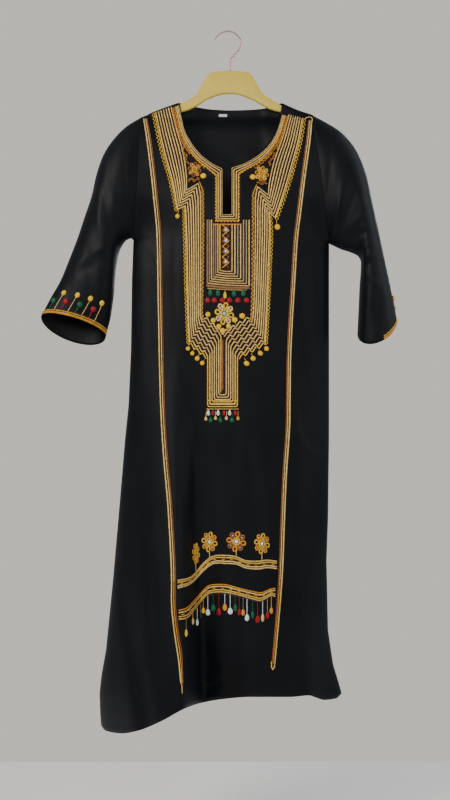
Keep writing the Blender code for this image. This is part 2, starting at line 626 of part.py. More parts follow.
def main():
    for obj in list(bpy.data.objects):
        bpy.data.objects.remove(obj, do_unlink=True)

    cols = [(-1, a) for a in COL_L] + [(1, a) for a in COL_R]
    front, _, _ = panel("front", front_y, TOP_FRONT, HEM_FRONT, cols, True, True, 7, 19)
    thin_l = [0, 0.012, 0.05, 0.12, 0.22, 0.34, 0.463, 0.56, 0.67, 0.82, 1.0]
    thin_r = [0.12, 0.26, 0.38, 0.50, 0.622, 0.73, 0.84, 0.93, 0.985, 1.0]
    cols = [(-1, a) for a in thin_l] + [(1, a) for a in thin_r]
    _, back_in, back_tris = panel("back", back_y, TOP_BACK, HEM_BACK, cols, False, False, 5, 14)
    flipped = [t[::-1] for t in back_tris]
    back_inner = Surface(back_in, vertex_normals(back_in, flipped), flipped)

    _, arm_l = sleeve("sleeve_left", LEFT_RINGS, 13, 18, -1)
    _, arm_r = sleeve("sleeve_right", RIGHT_RINGS, 13, 18, 1)

    # neck braid, rows: inner x, y and outer x, y
    r = Relief()
    r.ribbon([((178.9, 105.6), (173.4, 107.2)), ((181.2, 116.4), (174.9, 118.4)), ((184.3, 129.6), (178.2, 131.8)),
              ((190.6, 142), (184.6, 146.8)), ((201.0, 154.8), (195.5, 161.0)), ((212.6, 163.6), (206.6, 170.3)),
              ((222.5, 168.6), (213.8, 177)), ((222.5, 181), (214, 184)), ((222.5, 197), (214, 199)),
              ((222.5, 214.3), (214, 223.3)), ((231.5, 214.3), (241, 223.3)), ((231.5, 197), (241, 199)),
              ((231.5, 181), (241, 184)), ((231.5, 167.6), (241.2, 175.8)), ((240.4, 165.0), (246.7, 171.6)),
              ((253.2, 158.7), (259, 164.9)), ((266.0, 148.4), (271.8, 153.0)), ((275.3, 135.4), (280.8, 138.0)),
              ((280.0, 122.8), (285.4, 124.2)), ((281.8, 115.2), (287.2, 116.0))],
             6.0, [0.0011, 0.0017, 0.0011])
    orient(r.solid("neck_braid", front.hit, front))

    # bib bands: strap, step, upright band, slanting end; rows: outer x, y and inner x, y
    r = Relief()
    r.ribbon([((153.6, 113.4), (171.6, 106.8)), ((157.8, 134), (177.0, 129)), ((164.0, 160), (184.2, 155)),
              ((170.8, 182), (187.0, 178)), ((176.8, 211.5), (187.0, 189.7)), ((184.2, 208.0), (199.4, 181.8)),
              ((184.2, 222), (204.6, 187.4)), ((184.8, 240), (205.3, 226)), ((186, 291), (204.6, 280)),
              ((187.4, 329), (203.4, 312)), ((188.4, 344.6), (203.8, 319.6)), ((206.2, 359.0), (222.0, 335.4))],
             7.6, [0.0011, 0.0016, 0.0011, 0.0016, 0.0011])
    orient(r.solid("bib_left", front.hit, front))
    r = Relief()
    r.ribbon([((304.2, 119.0), (288.6, 114.6)), ((300.8, 140), (281.8, 138.6)), ((293.6, 168), (273.4, 162)),
              ((286.6, 191), (268.8, 184)), ((275.8, 220.4), (267.8, 194.2)), ((270.0, 214.0), (256.6, 184.8)),
              ((271.4, 228), (251.4, 190.4)), ((271.5, 240), (251.0, 226)), ((269.6, 280), (250.6, 280)),
              ((267.8, 316), (250.2, 312)), ((266.2, 344.8), (250.4, 319.8)), ((239.0, 359.2), (223.2, 335.6))],
             7.6, [0.0011, 0.0016, 0.0011, 0.0016, 0.0011])
    orient(r.solid("bib_right", front.hit, front))

    # yoke block under the slit
    xs = [206.2, 209.8, 213.2, 214.2, 220, 226, 232, 237, 241, 242.4, 246, 250.0]
    tops = [219.4, 219.4, 219.4, 224.2, 224.2, 224.2, 224.2, 224.2, 224.2, 219.4, 219.4, 219.4]
    r = Relief()
    rows = []
    for k in range(11):
        u = k / 10
        row = []
        for i, (x, t) in enumerate(zip(xs, tops)):
            b = 284.6 + (x - 206) * 0.07 + 1.6 * math.sin(math.pi * (x - 206) / 44)
            h = 0.0017 if 0 < i < len(xs) - 1 and 0 < k < 10 else 0.0011
            row.append(r.point(x, t + (b - t) * u, h))
        rows.append(row)
    for a, b in zip(rows, rows[1:]):
        for i in range(len(xs) - 1):
            r.quad(a[i], a[i + 1], b[i + 1], b[i])
    orient(r.solid("yoke_block", front.hit, front))

    # tail of the bib
    r = Relief()
    rows = []
    for k in range(9):
        u = k / 8
        row = []
        for i in range(7):
            x = 206.0 + (239.2 - 206.0) * i / 6
            t = 336.6 + abs(x - 222.6) * 23.4 / 16.6
            h = 0.0017 if 0 < i < 6 and 0 < k < 8 else 0.0011
            row.append(r.point(x, t + (407.8 - t) * u, h))
        rows.append(row)
    for a, b in zip(rows, rows[1:]):
        for i in range(6):
            r.quad(a[i], a[i + 1], b[i + 1], b[i])
    orient(r.solid("bib_tail", front.hit, front))

    # long stripes
    # middle line: x, y
    mid_l = curve_points([(145.2, 118.8), (148.8, 140), (153.3, 176), (157.6, 217), (159.2, 240), (160.4, 310), (162.4, 400),
                          (165.6, 457), (169.8, 505), (173.3, 568), (173.4, 600), (174.6, 618), (177.4, 640), (180.0, 658),
                          (181.9, 688)], 68)
    # half width at a level
    wide = [(118, 2.5), (140, 3.2), (650, 3.2), (688, 1.3)]
    r = Relief()
    r.ribbon([((x - line(y, wide), y), (x + line(y, wide), y)) for x, y in mid_l], 60, [0.0012, 0.0012])
    orient(r.solid("stripe_left", front.hit, front))
    mid_r = curve_points([(310.3, 120.6), (308.4, 140), (303.5, 176), (298.4, 217), (295.6, 240), (293.2, 280), (290.7, 320),
                          (288.9, 360), (288.4, 400), (287.8, 430), (284.9, 472), (282.7, 523), (280.8, 572), (277.4, 618),
                          (272.9, 668)], 56)
    wide = [(118, 2.3), (140, 2.9), (668, 2.6)]
    r = Relief()
    r.ribbon([((x - line(y, wide), y), (x + line(y, wide), y)) for x, y in mid_r], 60, [0.0012, 0.0012])
    orient(r.solid("stripe_right", front.hit, front))

    # skirt braids
    # x, upper edge y, lower edge y
    up = [(177.6, 579.8, 589.0), (191, 576, 583.8), (203, 563, 571.8), (213.6, 555.5, 564.3), (226, 554.6, 564.3),
          (236, 556, 564.8), (245.7, 560, 568.6), (258, 560.4, 569.8), (267, 559.4, 568.3), (276.8, 560.6, 569.4)]
    lo = [(178.6, 609.6, 620.2), (187, 606.6, 618.4), (195.7, 597.5, 608), (206.4, 586.6, 596), (213.6, 584, 593),
          (226, 584, 593), (240.4, 588, 596), (253.8, 591, 600), (261, 592, 601), (270.7, 588.4, 596), (275.2, 587.4, 597.0)]
    for name, data in (("skirt_braid_upper", up), ("skirt_braid_lower", lo)):
        r = Relief()
        r.ribbon([((x, a), (x, b)) for x, a, b in data], 5.2, [0.0011, 0.0015, 0.0011])
        orient(r.solid(name, front.hit, front))

    # rosettes: middle x, y, half width, half height
    spots = {"rosette_neck_left": (194.6, 169.6, 6.2, 7.2), "rosette_neck_right": (261.9, 173.8, 6.4, 7.2),
             "rosette_chest": (224.4, 313.8, 8.6, 9.6), "rosette_skirt_1": (195.7, 553.4, 3.6, 10.2),
             "rosette_skirt_2": (209.6, 542, 7.8, 10.2), "rosette_skirt_3": (236.3, 541.6, 9.6, 10.2),
             "rosette_skirt_4": (261.8, 543.6, 7.6, 10.4)}
    for name, (x, y, rx, ry) in spots.items():
        r = Relief()
        r.rosette(x, y, rx, ry)
        orient(r.solid(name, front.hit, front))

    # dots on thread stems, each row on its own narrow strip
    b = 0.0034

    def comb(name, a, c, drops, lead=(0, 1)):
        r = Relief()
        r.comb(a, c, drops, lead)
        orient(r.solid(name, front.hit, front))

    comb("chest_drops_upper", (207.6, 287.6), (246.6, 289.6),
         [(210.4, 293.2, 2.6, 3.0, b), (218, 293.8, 2.6, 3.0, b), (225, 295.0, 2.0, 3.0, b),
          (234, 294.4, 2.6, 3.0, b), (243.3, 294.0, 2.6, 3.0, b)])
    comb("chest_drops_lower", (206.4, 298.2), (249.4, 298.2),
         [(x, 301.4, 2.9, 1.7, b * 0.8) for x in (209.0, 215.0, 222.2, 229.6, 238.4, 246.4)])
    r = Relief()
    r.comb((206.0, 319.4), (222.2, 333.4), [(209.6, 313.0, 2.5, 2.5, b), (213.8, 318.4, 2.3, 2.3, b), (219.2, 325.2, 2.3, 2.0, b)], (0.65, -0.76))
    orient(r.solid("chest_dots_left", front.hit, front))
    r = Relief()
    r.comb((248.6, 319.6), (223.4, 333.4), [(242.4, 314.6, 2.6, 2.4, b), (234.8, 318.6, 2.5, 2.3, b), (228.2, 325.0, 2.4, 2.0, b)], (-0.48, -0.88))
    orient(r.solid("chest_dots_right", front.hit, front))
    r = Relief()
    r.comb((188.2, 346.4), (204.6, 360.2), [(188.6, 350.6, 2.0, 1.9, b), (192.3, 355.0, 2.0, 1.9, b), (197.0, 359.6, 2.2, 2.0, b), (201.9, 363.9, 2.2, 2.0, b)], (-0.64, 0.77))
    orient(r.solid("tail_dots_left", front.hit, front))
    r = Relief()
    r.comb((266.4, 346.6), (240.6, 360.4), [(266.4, 350.6, 2.0, 1.9, b), (260.6, 354.4, 2.4, 1.9, b), (253.6, 358.9, 2.2, 2.0, b), (247.0, 363.6, 2.4, 2.1, b)], (0.47, 0.88))
    orient(r.solid("tail_dots_right", front.hit, front))
    comb("tail_drops", (206.4, 409.2), (238.8, 409.2),
         [(208.6, 413.2, 1.5, 2.2, b), (214.2, 413.2, 1.5, 2.2, b), (219.6, 413.2, 1.5, 2.2, b),
          (225.4, 413.2, 1.5, 2.2, b), (231.0, 413.2, 1.5, 2.2, b), (236.6, 413.2, 1.5, 2.2, b)])
    comb("tail_drops_lower", (205.4, 416.4), (239.0, 416.4),
         [(206.2, 419.6, 1.7, 1.6, b), (211.0, 420.6, 2.2, 2.1, b), (215.7, 419.4, 1.7, 1.6, b), (220.6, 420.6, 2.2, 2.1, b),
          (226.0, 419.4, 1.7, 1.6, b), (231.8, 420.6, 2.2, 2.1, b), (237.9, 419.6, 1.9, 1.6, b)])

    # skirt drops under the lower braid
    edge = [(x, c + 1.0) for x, a, c in lo]
    parts = [[(185.9, 633, 2.0, 4.0), (192.6, 621.5, 2.0, 4.0), (196.9, 623, 1.2, 4.0), (203.2, 611.5, 2.0, 4.2)],
             [(208.2, 612.7, 1.7, 4.0), (213.3, 607.8, 2.1, 4.6), (219.2, 612, 2.1, 4.2), (225, 607, 2.0, 4.4), (230.3, 611, 1.8, 4.4),
              (235.4, 607, 1.8, 4.0), (239.6, 613.6, 1.6, 4.0)],
             [(243.8, 611.4, 1.6, 4.2), (247.9, 618, 1.7, 4.2), (252.4, 614.5, 1.9, 4.4), (257.6, 620, 2.0, 4.0)],
             [(262.7, 616.0, 1.9, 4.6), (267.4, 611.4, 1.7, 4.4), (271.5, 607.6, 1.5, 4.2)]]
    ends = [((186.4, 619.2), (204.6, 598.4)), ((205.9, 597.2), (240.6, 596.9)), ((241.6, 597.2), (260.6, 601.6)), ((261.8, 601.6), (273.6, 596.4))]
    ends[0] = ((184.4, 620.0), (204.9, 598.6))
    for k, (pp, (e0, e1)) in enumerate(zip(parts, ends)):
        r = Relief()
        n = 5
        xs = np.linspace(e0[0], e1[0], n)
        r_edge = [(x, float(np.interp(x, [p[0] for p in edge], [p[1] for p in edge]))) for x in xs]
        marks = sorted({round(x, 3) for x, _ in r_edge} | {round(q[0] - 0.45, 3) for q in pp} | {round(q[0] + 0.45, 3) for q in pp})
        marks = [m for m in marks if e0[0] - 0.01 <= m <= e1[0] + 0.01
                 and not any(abs(m - q[0]) < 0.44 for q in pp)]
        ey = lambda x: float(np.interp(x, [p[0] for p in edge], [p[1] for p in edge]))
        top = {m: r.point(m, ey(m), 0.0010) for m in marks}
        bot = {m: r.point(m, ey(m) + 1.1, 0.0010) for m in marks}
        for m0, m1 in zip(marks, marks[1:]):
            r.quad(top[m0], top[m1], bot[m1], bot[m0])
        for x, y, rx, ry in pp:
            r.bead(bot[round(x - 0.45, 3)], bot[round(x + 0.45, 3)], x, y, rx, ry, 0.0034)
        orient(r.solid("skirt_drops_%d" % (k + 1), front.hit, front))

    # single dots at the strap ends and beside the neck rosettes
    for name, (sx, sy), (x, y, rx, ry) in (("strap_dot_left", (178.6, 211.8), (177.5, 216.6, 2.1, 2.1)),
                                          ("strap_dot_right", (276.0, 221.6), (277.4, 227.4, 2.6, 2.6)),
                                          ("neck_dot_left", (205.6, 179.8), (203.4, 175.9, 2.2, 2.2)),
                                          ("neck_dot_right", (250.8, 180.8), (252.6, 176.9, 2.2, 2.2))):
        r = Relief()
        r.drop(sx, sy, x, y, rx, ry)
        orient(r.solid(name, front.hit, front))

    # cuff braids and pins, in sleeve coordinates: percent round the span, distance from the edge
    def cuff(name, surface, rings, start, span, at, first_tall):
        def place(a, b):
            ph = math.pi * (start + span * a / 100.0)
            c, s = math.cos(ph), math.sin(ph)
            path = []
            for ox, oy, ix, iy, h, mid, df, db in rings[:-6:-1]:
                drop = df * s if s > 0 else -db * s
                path.append(np.array(((ox + ix) / 2 + (ox - ix) / 2 * c, (oy + iy) / 2 + (oy - iy) / 2 * c + drop, mid - h * s)))
            for p, q in zip(path, path[1:]):
                far = math.dist(p[:2], q[:2])
                if b <= far:
                    break
                b -= far
            loc, _, k, _ = surface.tree.find_nearest(Vector(world(*(p + (q - p) * b / far))))
            return np.array(loc), surface.smooth(loc, k)

        r = Relief()
        r.ribbon([((x, 0.7), (x, 4.8)) for x in np.linspace(0, 100, 17)], 100, [0.0011, 0.0015, 0.0011])
        orient(r.solid(name + "_braid", place, surface))
        r = Relief()
        marks = sorted([at[0] - 4.0, at[-1] + 4.0] + [x - 1.1 for x in at] + [x + 1.1 for x in at])
        low, high = {}, {}
        for m in marks:
            low[m], high[m] = r.point(m, 5.6, 0.001), r.point(m, 6.6, 0.001)
        for m0, m1 in zip(marks, marks[1:]):
            r.quad(low[m0], low[m1], high[m1], high[m0])
        for k, x in enumerate(at):
            top = 24.0 if k % 2 == first_tall else 15.0
            a, c = high[x - 1.1], high[x + 1.1]
            ca, cc = r.point(x - 1.1, top - 2.6, 0.0011), r.point(x + 1.1, top - 2.6, 0.0011)
            r.quad(a, c, cc, ca)
            ring = [cc, r.point(x + 3.0, top - 0.4, 0.0017), r.point(x + 1.6, top + 2.4, 0.0015),
                    r.point(x - 1.6, top + 2.4, 0.0015), r.point(x - 3.0, top - 0.4, 0.0017), ca]
            mid = r.point(x, top, 0.0034)
            for q in range(6):
                r.tri(ring[q], ring[(q + 1) % 6], mid)
        orient(r.solid(name + "_pins", place, surface))

    cuff("cuff_left", arm_l, LEFT_RINGS, 0.04, 0.92, [16, 24.5, 33, 41, 48.5, 56, 64, 71.5], 1)
    cuff("cuff_right", arm_r, RIGHT_RINGS, -0.42, 0.81, [10, 24, 38, 52], 1)

    # blank label inside the back neck
    r = Relief()
    r.ribbon([((218.8, 114.3), (218.8, 117.2)), ((227.2, 114.3), (227.2, 117.2))], 4.0, [0.0006, 0.0006])
    orient(r.solid("label", back_inner.hit, back_inner))

    orient(hanger())
    ctrl = [(230.1, 71.0), (230.2, 64), (230.4, 60), (232.7, 56.7), (238.4, 50.4), (240.7, 44.1), (240.1, 38.9),
            (235, 33.2), (229.2, 31.2), (223.5, 31.9), (218.9, 34.6), (215, 39.6)]
    pts = curve_points(ctrl, 21)
    pts = np.array([world(x, y, 0.0) for x, y in pts])
    pts[:, 2] += 0.0016 - pts[:, 2].max()
    base = world(230.1, 71.0, 0.0)
    pts[0] = (base[0], 0.0, base[2])
    orient(tube("hook", pts, 0.0016, 7))


main()
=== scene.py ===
"""The dressed look of the embroidered dress and its hanger."""

import math

import bpy
import numpy as np
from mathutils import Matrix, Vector
from mathutils.bvhtree import BVHTree

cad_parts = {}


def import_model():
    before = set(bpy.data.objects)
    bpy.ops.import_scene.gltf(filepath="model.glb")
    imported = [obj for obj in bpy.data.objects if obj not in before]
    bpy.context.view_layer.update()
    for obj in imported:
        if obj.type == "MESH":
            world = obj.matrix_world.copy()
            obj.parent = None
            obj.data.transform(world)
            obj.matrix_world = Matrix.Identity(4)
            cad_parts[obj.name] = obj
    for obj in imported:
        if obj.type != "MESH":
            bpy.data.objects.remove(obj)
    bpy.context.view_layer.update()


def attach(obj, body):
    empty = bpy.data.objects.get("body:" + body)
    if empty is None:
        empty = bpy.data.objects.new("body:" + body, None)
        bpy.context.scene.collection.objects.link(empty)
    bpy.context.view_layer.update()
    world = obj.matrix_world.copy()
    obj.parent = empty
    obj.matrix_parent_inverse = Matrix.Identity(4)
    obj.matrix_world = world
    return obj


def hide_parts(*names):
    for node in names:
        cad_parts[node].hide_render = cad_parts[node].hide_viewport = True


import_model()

UNIT = 0.0021
FAR = 2.1
EYE = np.array((-4 * UNIT, -FAR, -368 * UNIT))
WALL = 0.0015
LIFT = 0.00045


def world(px, py, y):
    k = (FAR + y) / FAR
    return np.array((EYE[0] + (px - 225) * UNIT * k, y, EYE[2] - (py - 400) * UNIT * k))


def tab(t, rows):
    """Smooth interpolation in a two-column table."""
    xs = [r[0] for r in rows]
    ys = [r[1] for r in rows]
    n = len(xs)
    if t <= xs[0]:
        return ys[0]
    if t >= xs[-1]:
        return ys[-1]
    sl = [(ys[i + 1] - ys[i]) / (xs[i + 1] - xs[i]) for i in range(n - 1)]
    i = max(k for k in range(n - 1) if xs[k] <= t)

    def tan(k):
        if k == 0:
            return sl[0]
        if k == n - 1:
            return sl[-1]
        if sl[k - 1] * sl[k] <= 0:
            return 0.0
        return 2 * sl[k - 1] * sl[k] / (sl[k - 1] + sl[k])

    h = xs[i + 1] - xs[i]
    u = (t - xs[i]) / h
    a, b = tan(i) * h, tan(i + 1) * h
    return (ys[i] * (2 * u ** 3 - 3 * u ** 2 + 1) + a * (u ** 3 - 2 * u ** 2 + u)
            + ys[i + 1] * (3 * u ** 2 - 2 * u ** 3) + b * (u ** 3 - u ** 2))


def line(t, rows):
    return float(np.interp(t, [r[0] for r in rows], [r[1] for r in rows]))


def step(u):
    u = min(1.0, max(0.0, u))
    return u * u * (3 - 2 * u)


# outline of the body: level y, edge x
LEFT = [(100, 142.07), (117.5, 141), (240, 133.5), (280, 132), (350, 131), (405, 128.6), (440, 125),
        (500, 120), (580, 113), (650, 106), (675, 101.5), (693, 99.6), (715, 100.3), (735, 102)]
RIGHT = [(100, 311.07), (115.5, 313), (243.7, 329), (280, 329), (400, 329), (437, 329), (520, 328),
         (560, 326.5), (630, 328), (664, 333), (682.7, 338.7), (693, 341.6), (715, 342.5), (735, 343)]
# upper and lower edges of the panels: x, level y
CREST = [(141, 117.5), (147, 115), (153, 112), (165, 107.4), (178, 102.8), (230, 102.8), (282, 103),
         (290, 106.6), (297, 109.7), (313, 115)]
TOP_FRONT = [(141, 117.5), (147, 115), (153, 112), (165, 107.4), (178, 102.8), (179.5, 104),
             (181.7, 115.5), (184.8, 128.3), (191.2, 140.6), (201.4, 153.4), (212.9, 162.3), (223, 167.3),
             (231, 166.4), (239.7, 163.7), (252.4, 157.2), (265, 147.1), (274, 134.3), (278.6, 122),
             (280.5, 112.4), (282, 103), (290, 106.6), (297, 109.7), (313, 115)]
TOP_BACK = [(141, 117.5), (147, 115), (153, 112), (165, 107.4), (178, 102.8), (184, 104), (195, 107),
            (212, 109.6), (230, 110.5), (250, 110), (265, 108.5), (275, 105.6), (282, 103),
            (290, 106.6), (297, 109.7), (313, 115)]
HEM_FRONT = [(99, 720), (102, 727), (106, 731), (122, 733.5), (137, 731), (160.7, 721.5), (185, 708.5),
             (201, 703), (224, 699), (250, 697), (290, 697), (309, 695.5), (317, 698), (324, 700),
             (336, 698.5), (343, 692)]
HEM_BACK = [(99, 720), (122, 721), (160, 712), (200, 701), (250, 694), (300, 692), (324, 694), (343, 692)]
ARM_DEPTH = 0.036
# folds and body depths: level y, metres
FOLD_LEFT = [(290, 0), (360, 0.007), (420, 0.024), (500, 0.046), (600, 0.075), (735, 0.105)]
FOLD_MID = [(330, 0), (420, 0.006), (520, 0.015), (620, 0.028), (720, 0.034)]
FOLD_RIGHT = [(370, 0), (450, 0.011), (560, 0.018), (700, 0.03)]
FRONT_DEPTH = [(300, 0.050), (400, 0.053), (500, 0.058), (600, 0.066), (735, 0.076)]
BACK_DEPTH = [(250, 0.040), (400, 0.047), (500, 0.054), (600, 0.062), (735, 0.072)]


def left(py):
    return line(py, LEFT)


def right(py):
    return line(py, RIGHT)


def arm_open(px, py):
    """Half depth of the armhole loop, shared between both sides of a level."""
    tl = min(1.0, max(0.0, (py - 117.5) / 122.5))
    tr = min(1.0, max(0.0, (py - 115.5) / 128.2))
    el = 2 * ARM_DEPTH * math.sqrt(tl * (1 - tl))
    er = 2 * ARM_DEPTH * math.sqrt(tr * (1 - tr))
    s = (px - left(py)) / (right(py) - left(py))
    return max(0.00015, el + (er - el) * s)


def across(px, py):
    s = 2 * (px - left(py)) / (right(py) - left(py)) - 1
    return max(0.0, 1 - s * s)


def depth(px, py, crest, chest):
    q = (py - crest) * UNIT
    r = 0.0078
    d = math.sqrt(max(0.0, r * r - max(0.0, r - q) ** 2)) if q < r else r
    grow = (chest - r) * step((q - r) / 0.24)
    e = max(arm_open(px, py), d * (1 - step((q - 0.02) / 0.05)))
    d = max(d + grow, e, 0.00015)
    ex = 1.0 - 0.47 * step((py - 190) / 90)
    # inside the panel the armhole's depth fades out before the armpit
    near = (1 - across(px, py)) ** 6
    e = e * (near + (1 - near) * (1 - step((py - 190) / 52)))
    return e + (d - e) * across(px, py) ** ex


def front_y(px, py):
    a = math.sqrt(across(px, py))
    y = depth(px, py, line(px, CREST), tab(py, FRONT_DEPTH))
    lo = tab(py, [(400, 170), (500, 174), (600, 177), (735, 181)])
    hi = tab(py, [(400, 196), (500, 200), (600, 204), (735, 206)])
    big = 1 - step((px - lo) / (hi - lo))
    big *= 0.55 + 0.45 * step((px - left(py)) / 40)
    valley = math.exp(-((px - 128 - (py - 592) * 0.14) / 9.0) ** 2) * step((py - 540) / 130)
    y += a * tab(py, FOLD_LEFT) * (big - 0.13 * valley)
    y += tab(py, FOLD_MID) * math.exp(-abs((px - 235) / (22 if px < 235 else 26)) ** 2.4)
    c = tab(py, [(400, 293), (450, 300), (560, 304), (700, 307)])
    y += a * tab(py, FOLD_RIGHT) * math.exp(-((px - c) / 15.0) ** 2)
    return -y


def back_y(px, py):
    a = math.sqrt(across(px, py))
    y = depth(px, py, line(px, CREST), tab(py, BACK_DEPTH))
    neck = step((px - 180) / 22) * step((281 - px) / 22) * step((175 - py) / 60)
    y += 0.020 * neck
    f = step((py - 330) / 380)
    y += a * f * 0.034 * math.exp(-((px - 165 + (py - 700) * 0.05) / 22.0) ** 2)
    y += a * f * 0.030 * math.exp(-((px - 280 - (py - 700) * 0.02) / 20.0) ** 2)
    y += a * f * 0.010 * math.cos((px - 222) / 12.0) * math.exp(-((px - 222) / 34.0) ** 2)
    return y


def unit_rows(v):
    n = np.linalg.norm(v, axis=-1, keepdims=True)
    return v / np.maximum(n, 1e-12)


class Surface:
    """Outer triangles of a cloth with smooth normals, to lay pieces on."""

    def __init__(self, pts, normals, tris):
        self.pts, self.normals, self.tris = pts, normals, tris
        self.tree = BVHTree.FromPolygons([tuple(p) for p in pts], [tuple(t) for t in tris])

    def smooth(self, loc, k):
        a, b, c = (self.pts[i] for i in self.tris[k])
        v0, v1, v2 = b - a, c - a, np.array(loc) - a
        d00, d01, d11 = v0 @ v0, v0 @ v1, v1 @ v1
        d20, d21 = v2 @ v0, v2 @ v1
        den = d00 * d11 - d01 * d01
        v = (d11 * d20 - d01 * d21) / den
        w = (d00 * d21 - d01 * d20) / den
        na, nb, nc = (self.normals[i] for i in self.tris[k])
        m = na * (1 - v - w) + nb * v + nc * w
        return m / np.linalg.norm(m)

    def hit(self, px, py):
        d = world(px, py, 0.0) - EYE
        d /= np.linalg.norm(d)
        loc, _, k, _ = self.tree.ray_cast(Vector(EYE), Vector(d), 4.0)
        if loc is None:
            raise ValueError("no cloth at %.1f %.1f" % (px, py))
        return np.array(loc), self.smooth(loc, k)

    def clear(self, p):
        loc, nor, _, dist = self.tree.find_nearest(Vector(p))
        return math.copysign(dist, (Vector(p) - loc).dot(nor))


def grid_tris(rows, cols, keep=None, flip=False):
    out = []
    for j in range(rows - 1):
        for i in range(cols - 1):
            if keep and not keep(j, i):
                continue
            a, b = j * cols + i, j * cols + i + 1
            c, d = (j + 1) * cols + i + 1, (j + 1) * cols + i
            pair = [(a, d, c), (a, c, b)]
            if flip:
                pair = [t[::-1] for t in pair]
            out += pair
    return out


def vertex_normals(pts, tris):
    acc = np.zeros_like(pts)
    for a, b, c in tris:
        n = np.cross(pts[b] - pts[a], pts[c] - pts[a])
        acc[a] += n
        acc[b] += n
        acc[c] += n
    return unit_rows(acc)


def column(a, py, side):
    if side < 0:
        return left(py) + (223 - left(py)) * a
    if side > 0:
        return 231 + (right(py) - 231) * a
    return 0.0


def settle(fn, edge, start):
    py = start
    for _ in range(30):
        py = py + 0.6 * (line(fn(py), edge) - py)
    return py


def tube_rings(rings, count):
    """Sleeve rings from (outer x, y, inner x, y, depth, middle, front drop, back drop)."""
    t = np.linspace(0, len(rings) - 1, count)
    table = np.array(rings, float)
    cols = [[tab(u, list(zip(range(len(rings)), table[:, c]))) for u in t] for c in range(table.shape[1])]
    return np.array(cols).T


def curve_points(ctrl, count):
    """Catmull-Rom through control points, evenly sampled by length."""
    c = [np.array(p, float) for p in ctrl]
    c = [2 * c[0] - c[1]] + c + [2 * c[-1] - c[-2]]
    dense = []
    for k in range(1, len(c) - 2):
        for u in np.linspace(0, 1, 16, endpoint=False):
            p0, p1, p2, p3 = c[k - 1], c[k], c[k + 1], c[k + 2]
            dense.append(0.5 * (2 * p1 + (p2 - p0) * u + (2 * p0 - 5 * p1 + 4 * p2 - p3) * u * u
                                + (3 * p1 - p0 - 3 * p2 + p3) * u ** 3))
    dense.append(c[-2])
    dense = np.array(dense)
    cum = np.concatenate([[0], np.cumsum(np.linalg.norm(np.diff(dense, axis=0), axis=1))])
    at = np.linspace(0, cum[-1], count)
    return np.stack([np.interp(at, cum, dense[:, i]) for i in range(dense.shape[1])], axis=1)


LEFT_RINGS = [(141, 117.5, 133.5, 240, 0.0360, 0.0, 0, 0), (127, 126, 130.6, 238.6, 0.043, -0.001, 0, 0),
              (114.8, 137.8, 126.3, 240.5, 0.046, -0.003, 0, 0), (103.3, 155, 120, 250.5, 0.046, -0.006, 0, 0),
              (96, 176, 117.5, 261, 0.045, -0.009, 0, 0), (91.8, 195, 115.9, 271.5, 0.044, -0.012, 0, 0),
              (84.5, 217, 115, 282, 0.042, -0.014, 0, 0), (77.5, 238, 114.2, 293, 0.040, -0.016, 0, 0),
              (69, 260, 112.5, 306, 0.037, -0.018, 0, 0), (60.3, 281, 110.5, 318.6, 0.033, -0.020, -2, 3),
              (51, 297.5, 108, 328, 0.029, -0.022, -5, 8), (41.0, 317, 105.8, 336.5, 0.026, -0.024, -9, 15.6)]
RIGHT_RINGS = [(313, 115.5, 329, 243.7, 0.0360, 0.0, 0, 0), (328, 123.5, 334.8, 246.6, 0.043, -0.001, 0, 0),
               (341.6, 132.4, 341.5, 249.6, 0.047, -0.003, 0, 0), (355.9, 149.3, 350.7, 252.6, 0.047, -0.006, 0, 0),
               (366, 173, 358.2, 256.6, 0.046, -0.008, 0, 0), (373, 204, 360.9, 263, 0.045, -0.010, 0, 0),
               (380, 236, 360.6, 272, 0.044, -0.012, 0, 0), (386.5, 267, 359.6, 285, 0.044, -0.013, 1, 0),
               (392.7, 297, 358.6, 307, 0.044, -0.014, 5, 0), (397, 322, 357.3, 334, 0.045, -0.015, 15, 2)]




# materials
def material(name, colour, rough=0.6, metallic=0.0, **more):
    mat = bpy.data.materials.new(name)
    mat.use_nodes = True
    nodes, links = mat.node_tree.nodes, mat.node_tree.links
    shader = nodes["Principled BSDF"]
    shader.inputs["Base Color"].default_value = (*colour, 1)
    shader.inputs["Roughness"].default_value = rough
    shader.inputs["Metallic"].default_value = metallic
    for key, value in more.items():
        shader.inputs[key.replace("_", " ")].default_value = value
    return mat, nodes, links, shader


def ramp(nodes, stops):
    r = nodes.new("ShaderNodeValToRGB")
    r.color_ramp.elements[0].position, r.color_ramp.elements[0].color = stops[0][0], (*stops[0][1], 1)
    r.color_ramp.elements[1].position, r.color_ramp.elements[1].color = stops[-1][0], (*stops[-1][1], 1)
    for pos, col in stops[1:-1]:
        e = r.color_ramp.elements.new(pos)
        e.color = (*col, 1)
    return r


def noise(nodes, links, coord, scale, detail=3.0, rough=0.55):
    n = nodes.new("ShaderNodeTexNoise")
    n.inputs["Scale"].default_value = scale
    n.inputs["Detail"].default_value = detail
    n.inputs["Roughness"].default_value = rough
    links.new(coord, n.inputs["Vector"])
    return n


def bump(nodes, links, shader, height, strength, distance, below=None):
    b = nodes.new("ShaderNodeBump")
    b.inputs["Strength"].default_value = strength
    b.inputs["Distance"].default_value = distance
    links.new(height, b.inputs["Height"])
    if below is not None:
        links.new(below.outputs["Normal"], b.inputs["Normal"])
    links.new(b.outputs["Normal"], shader.inputs["Normal"])
    return b


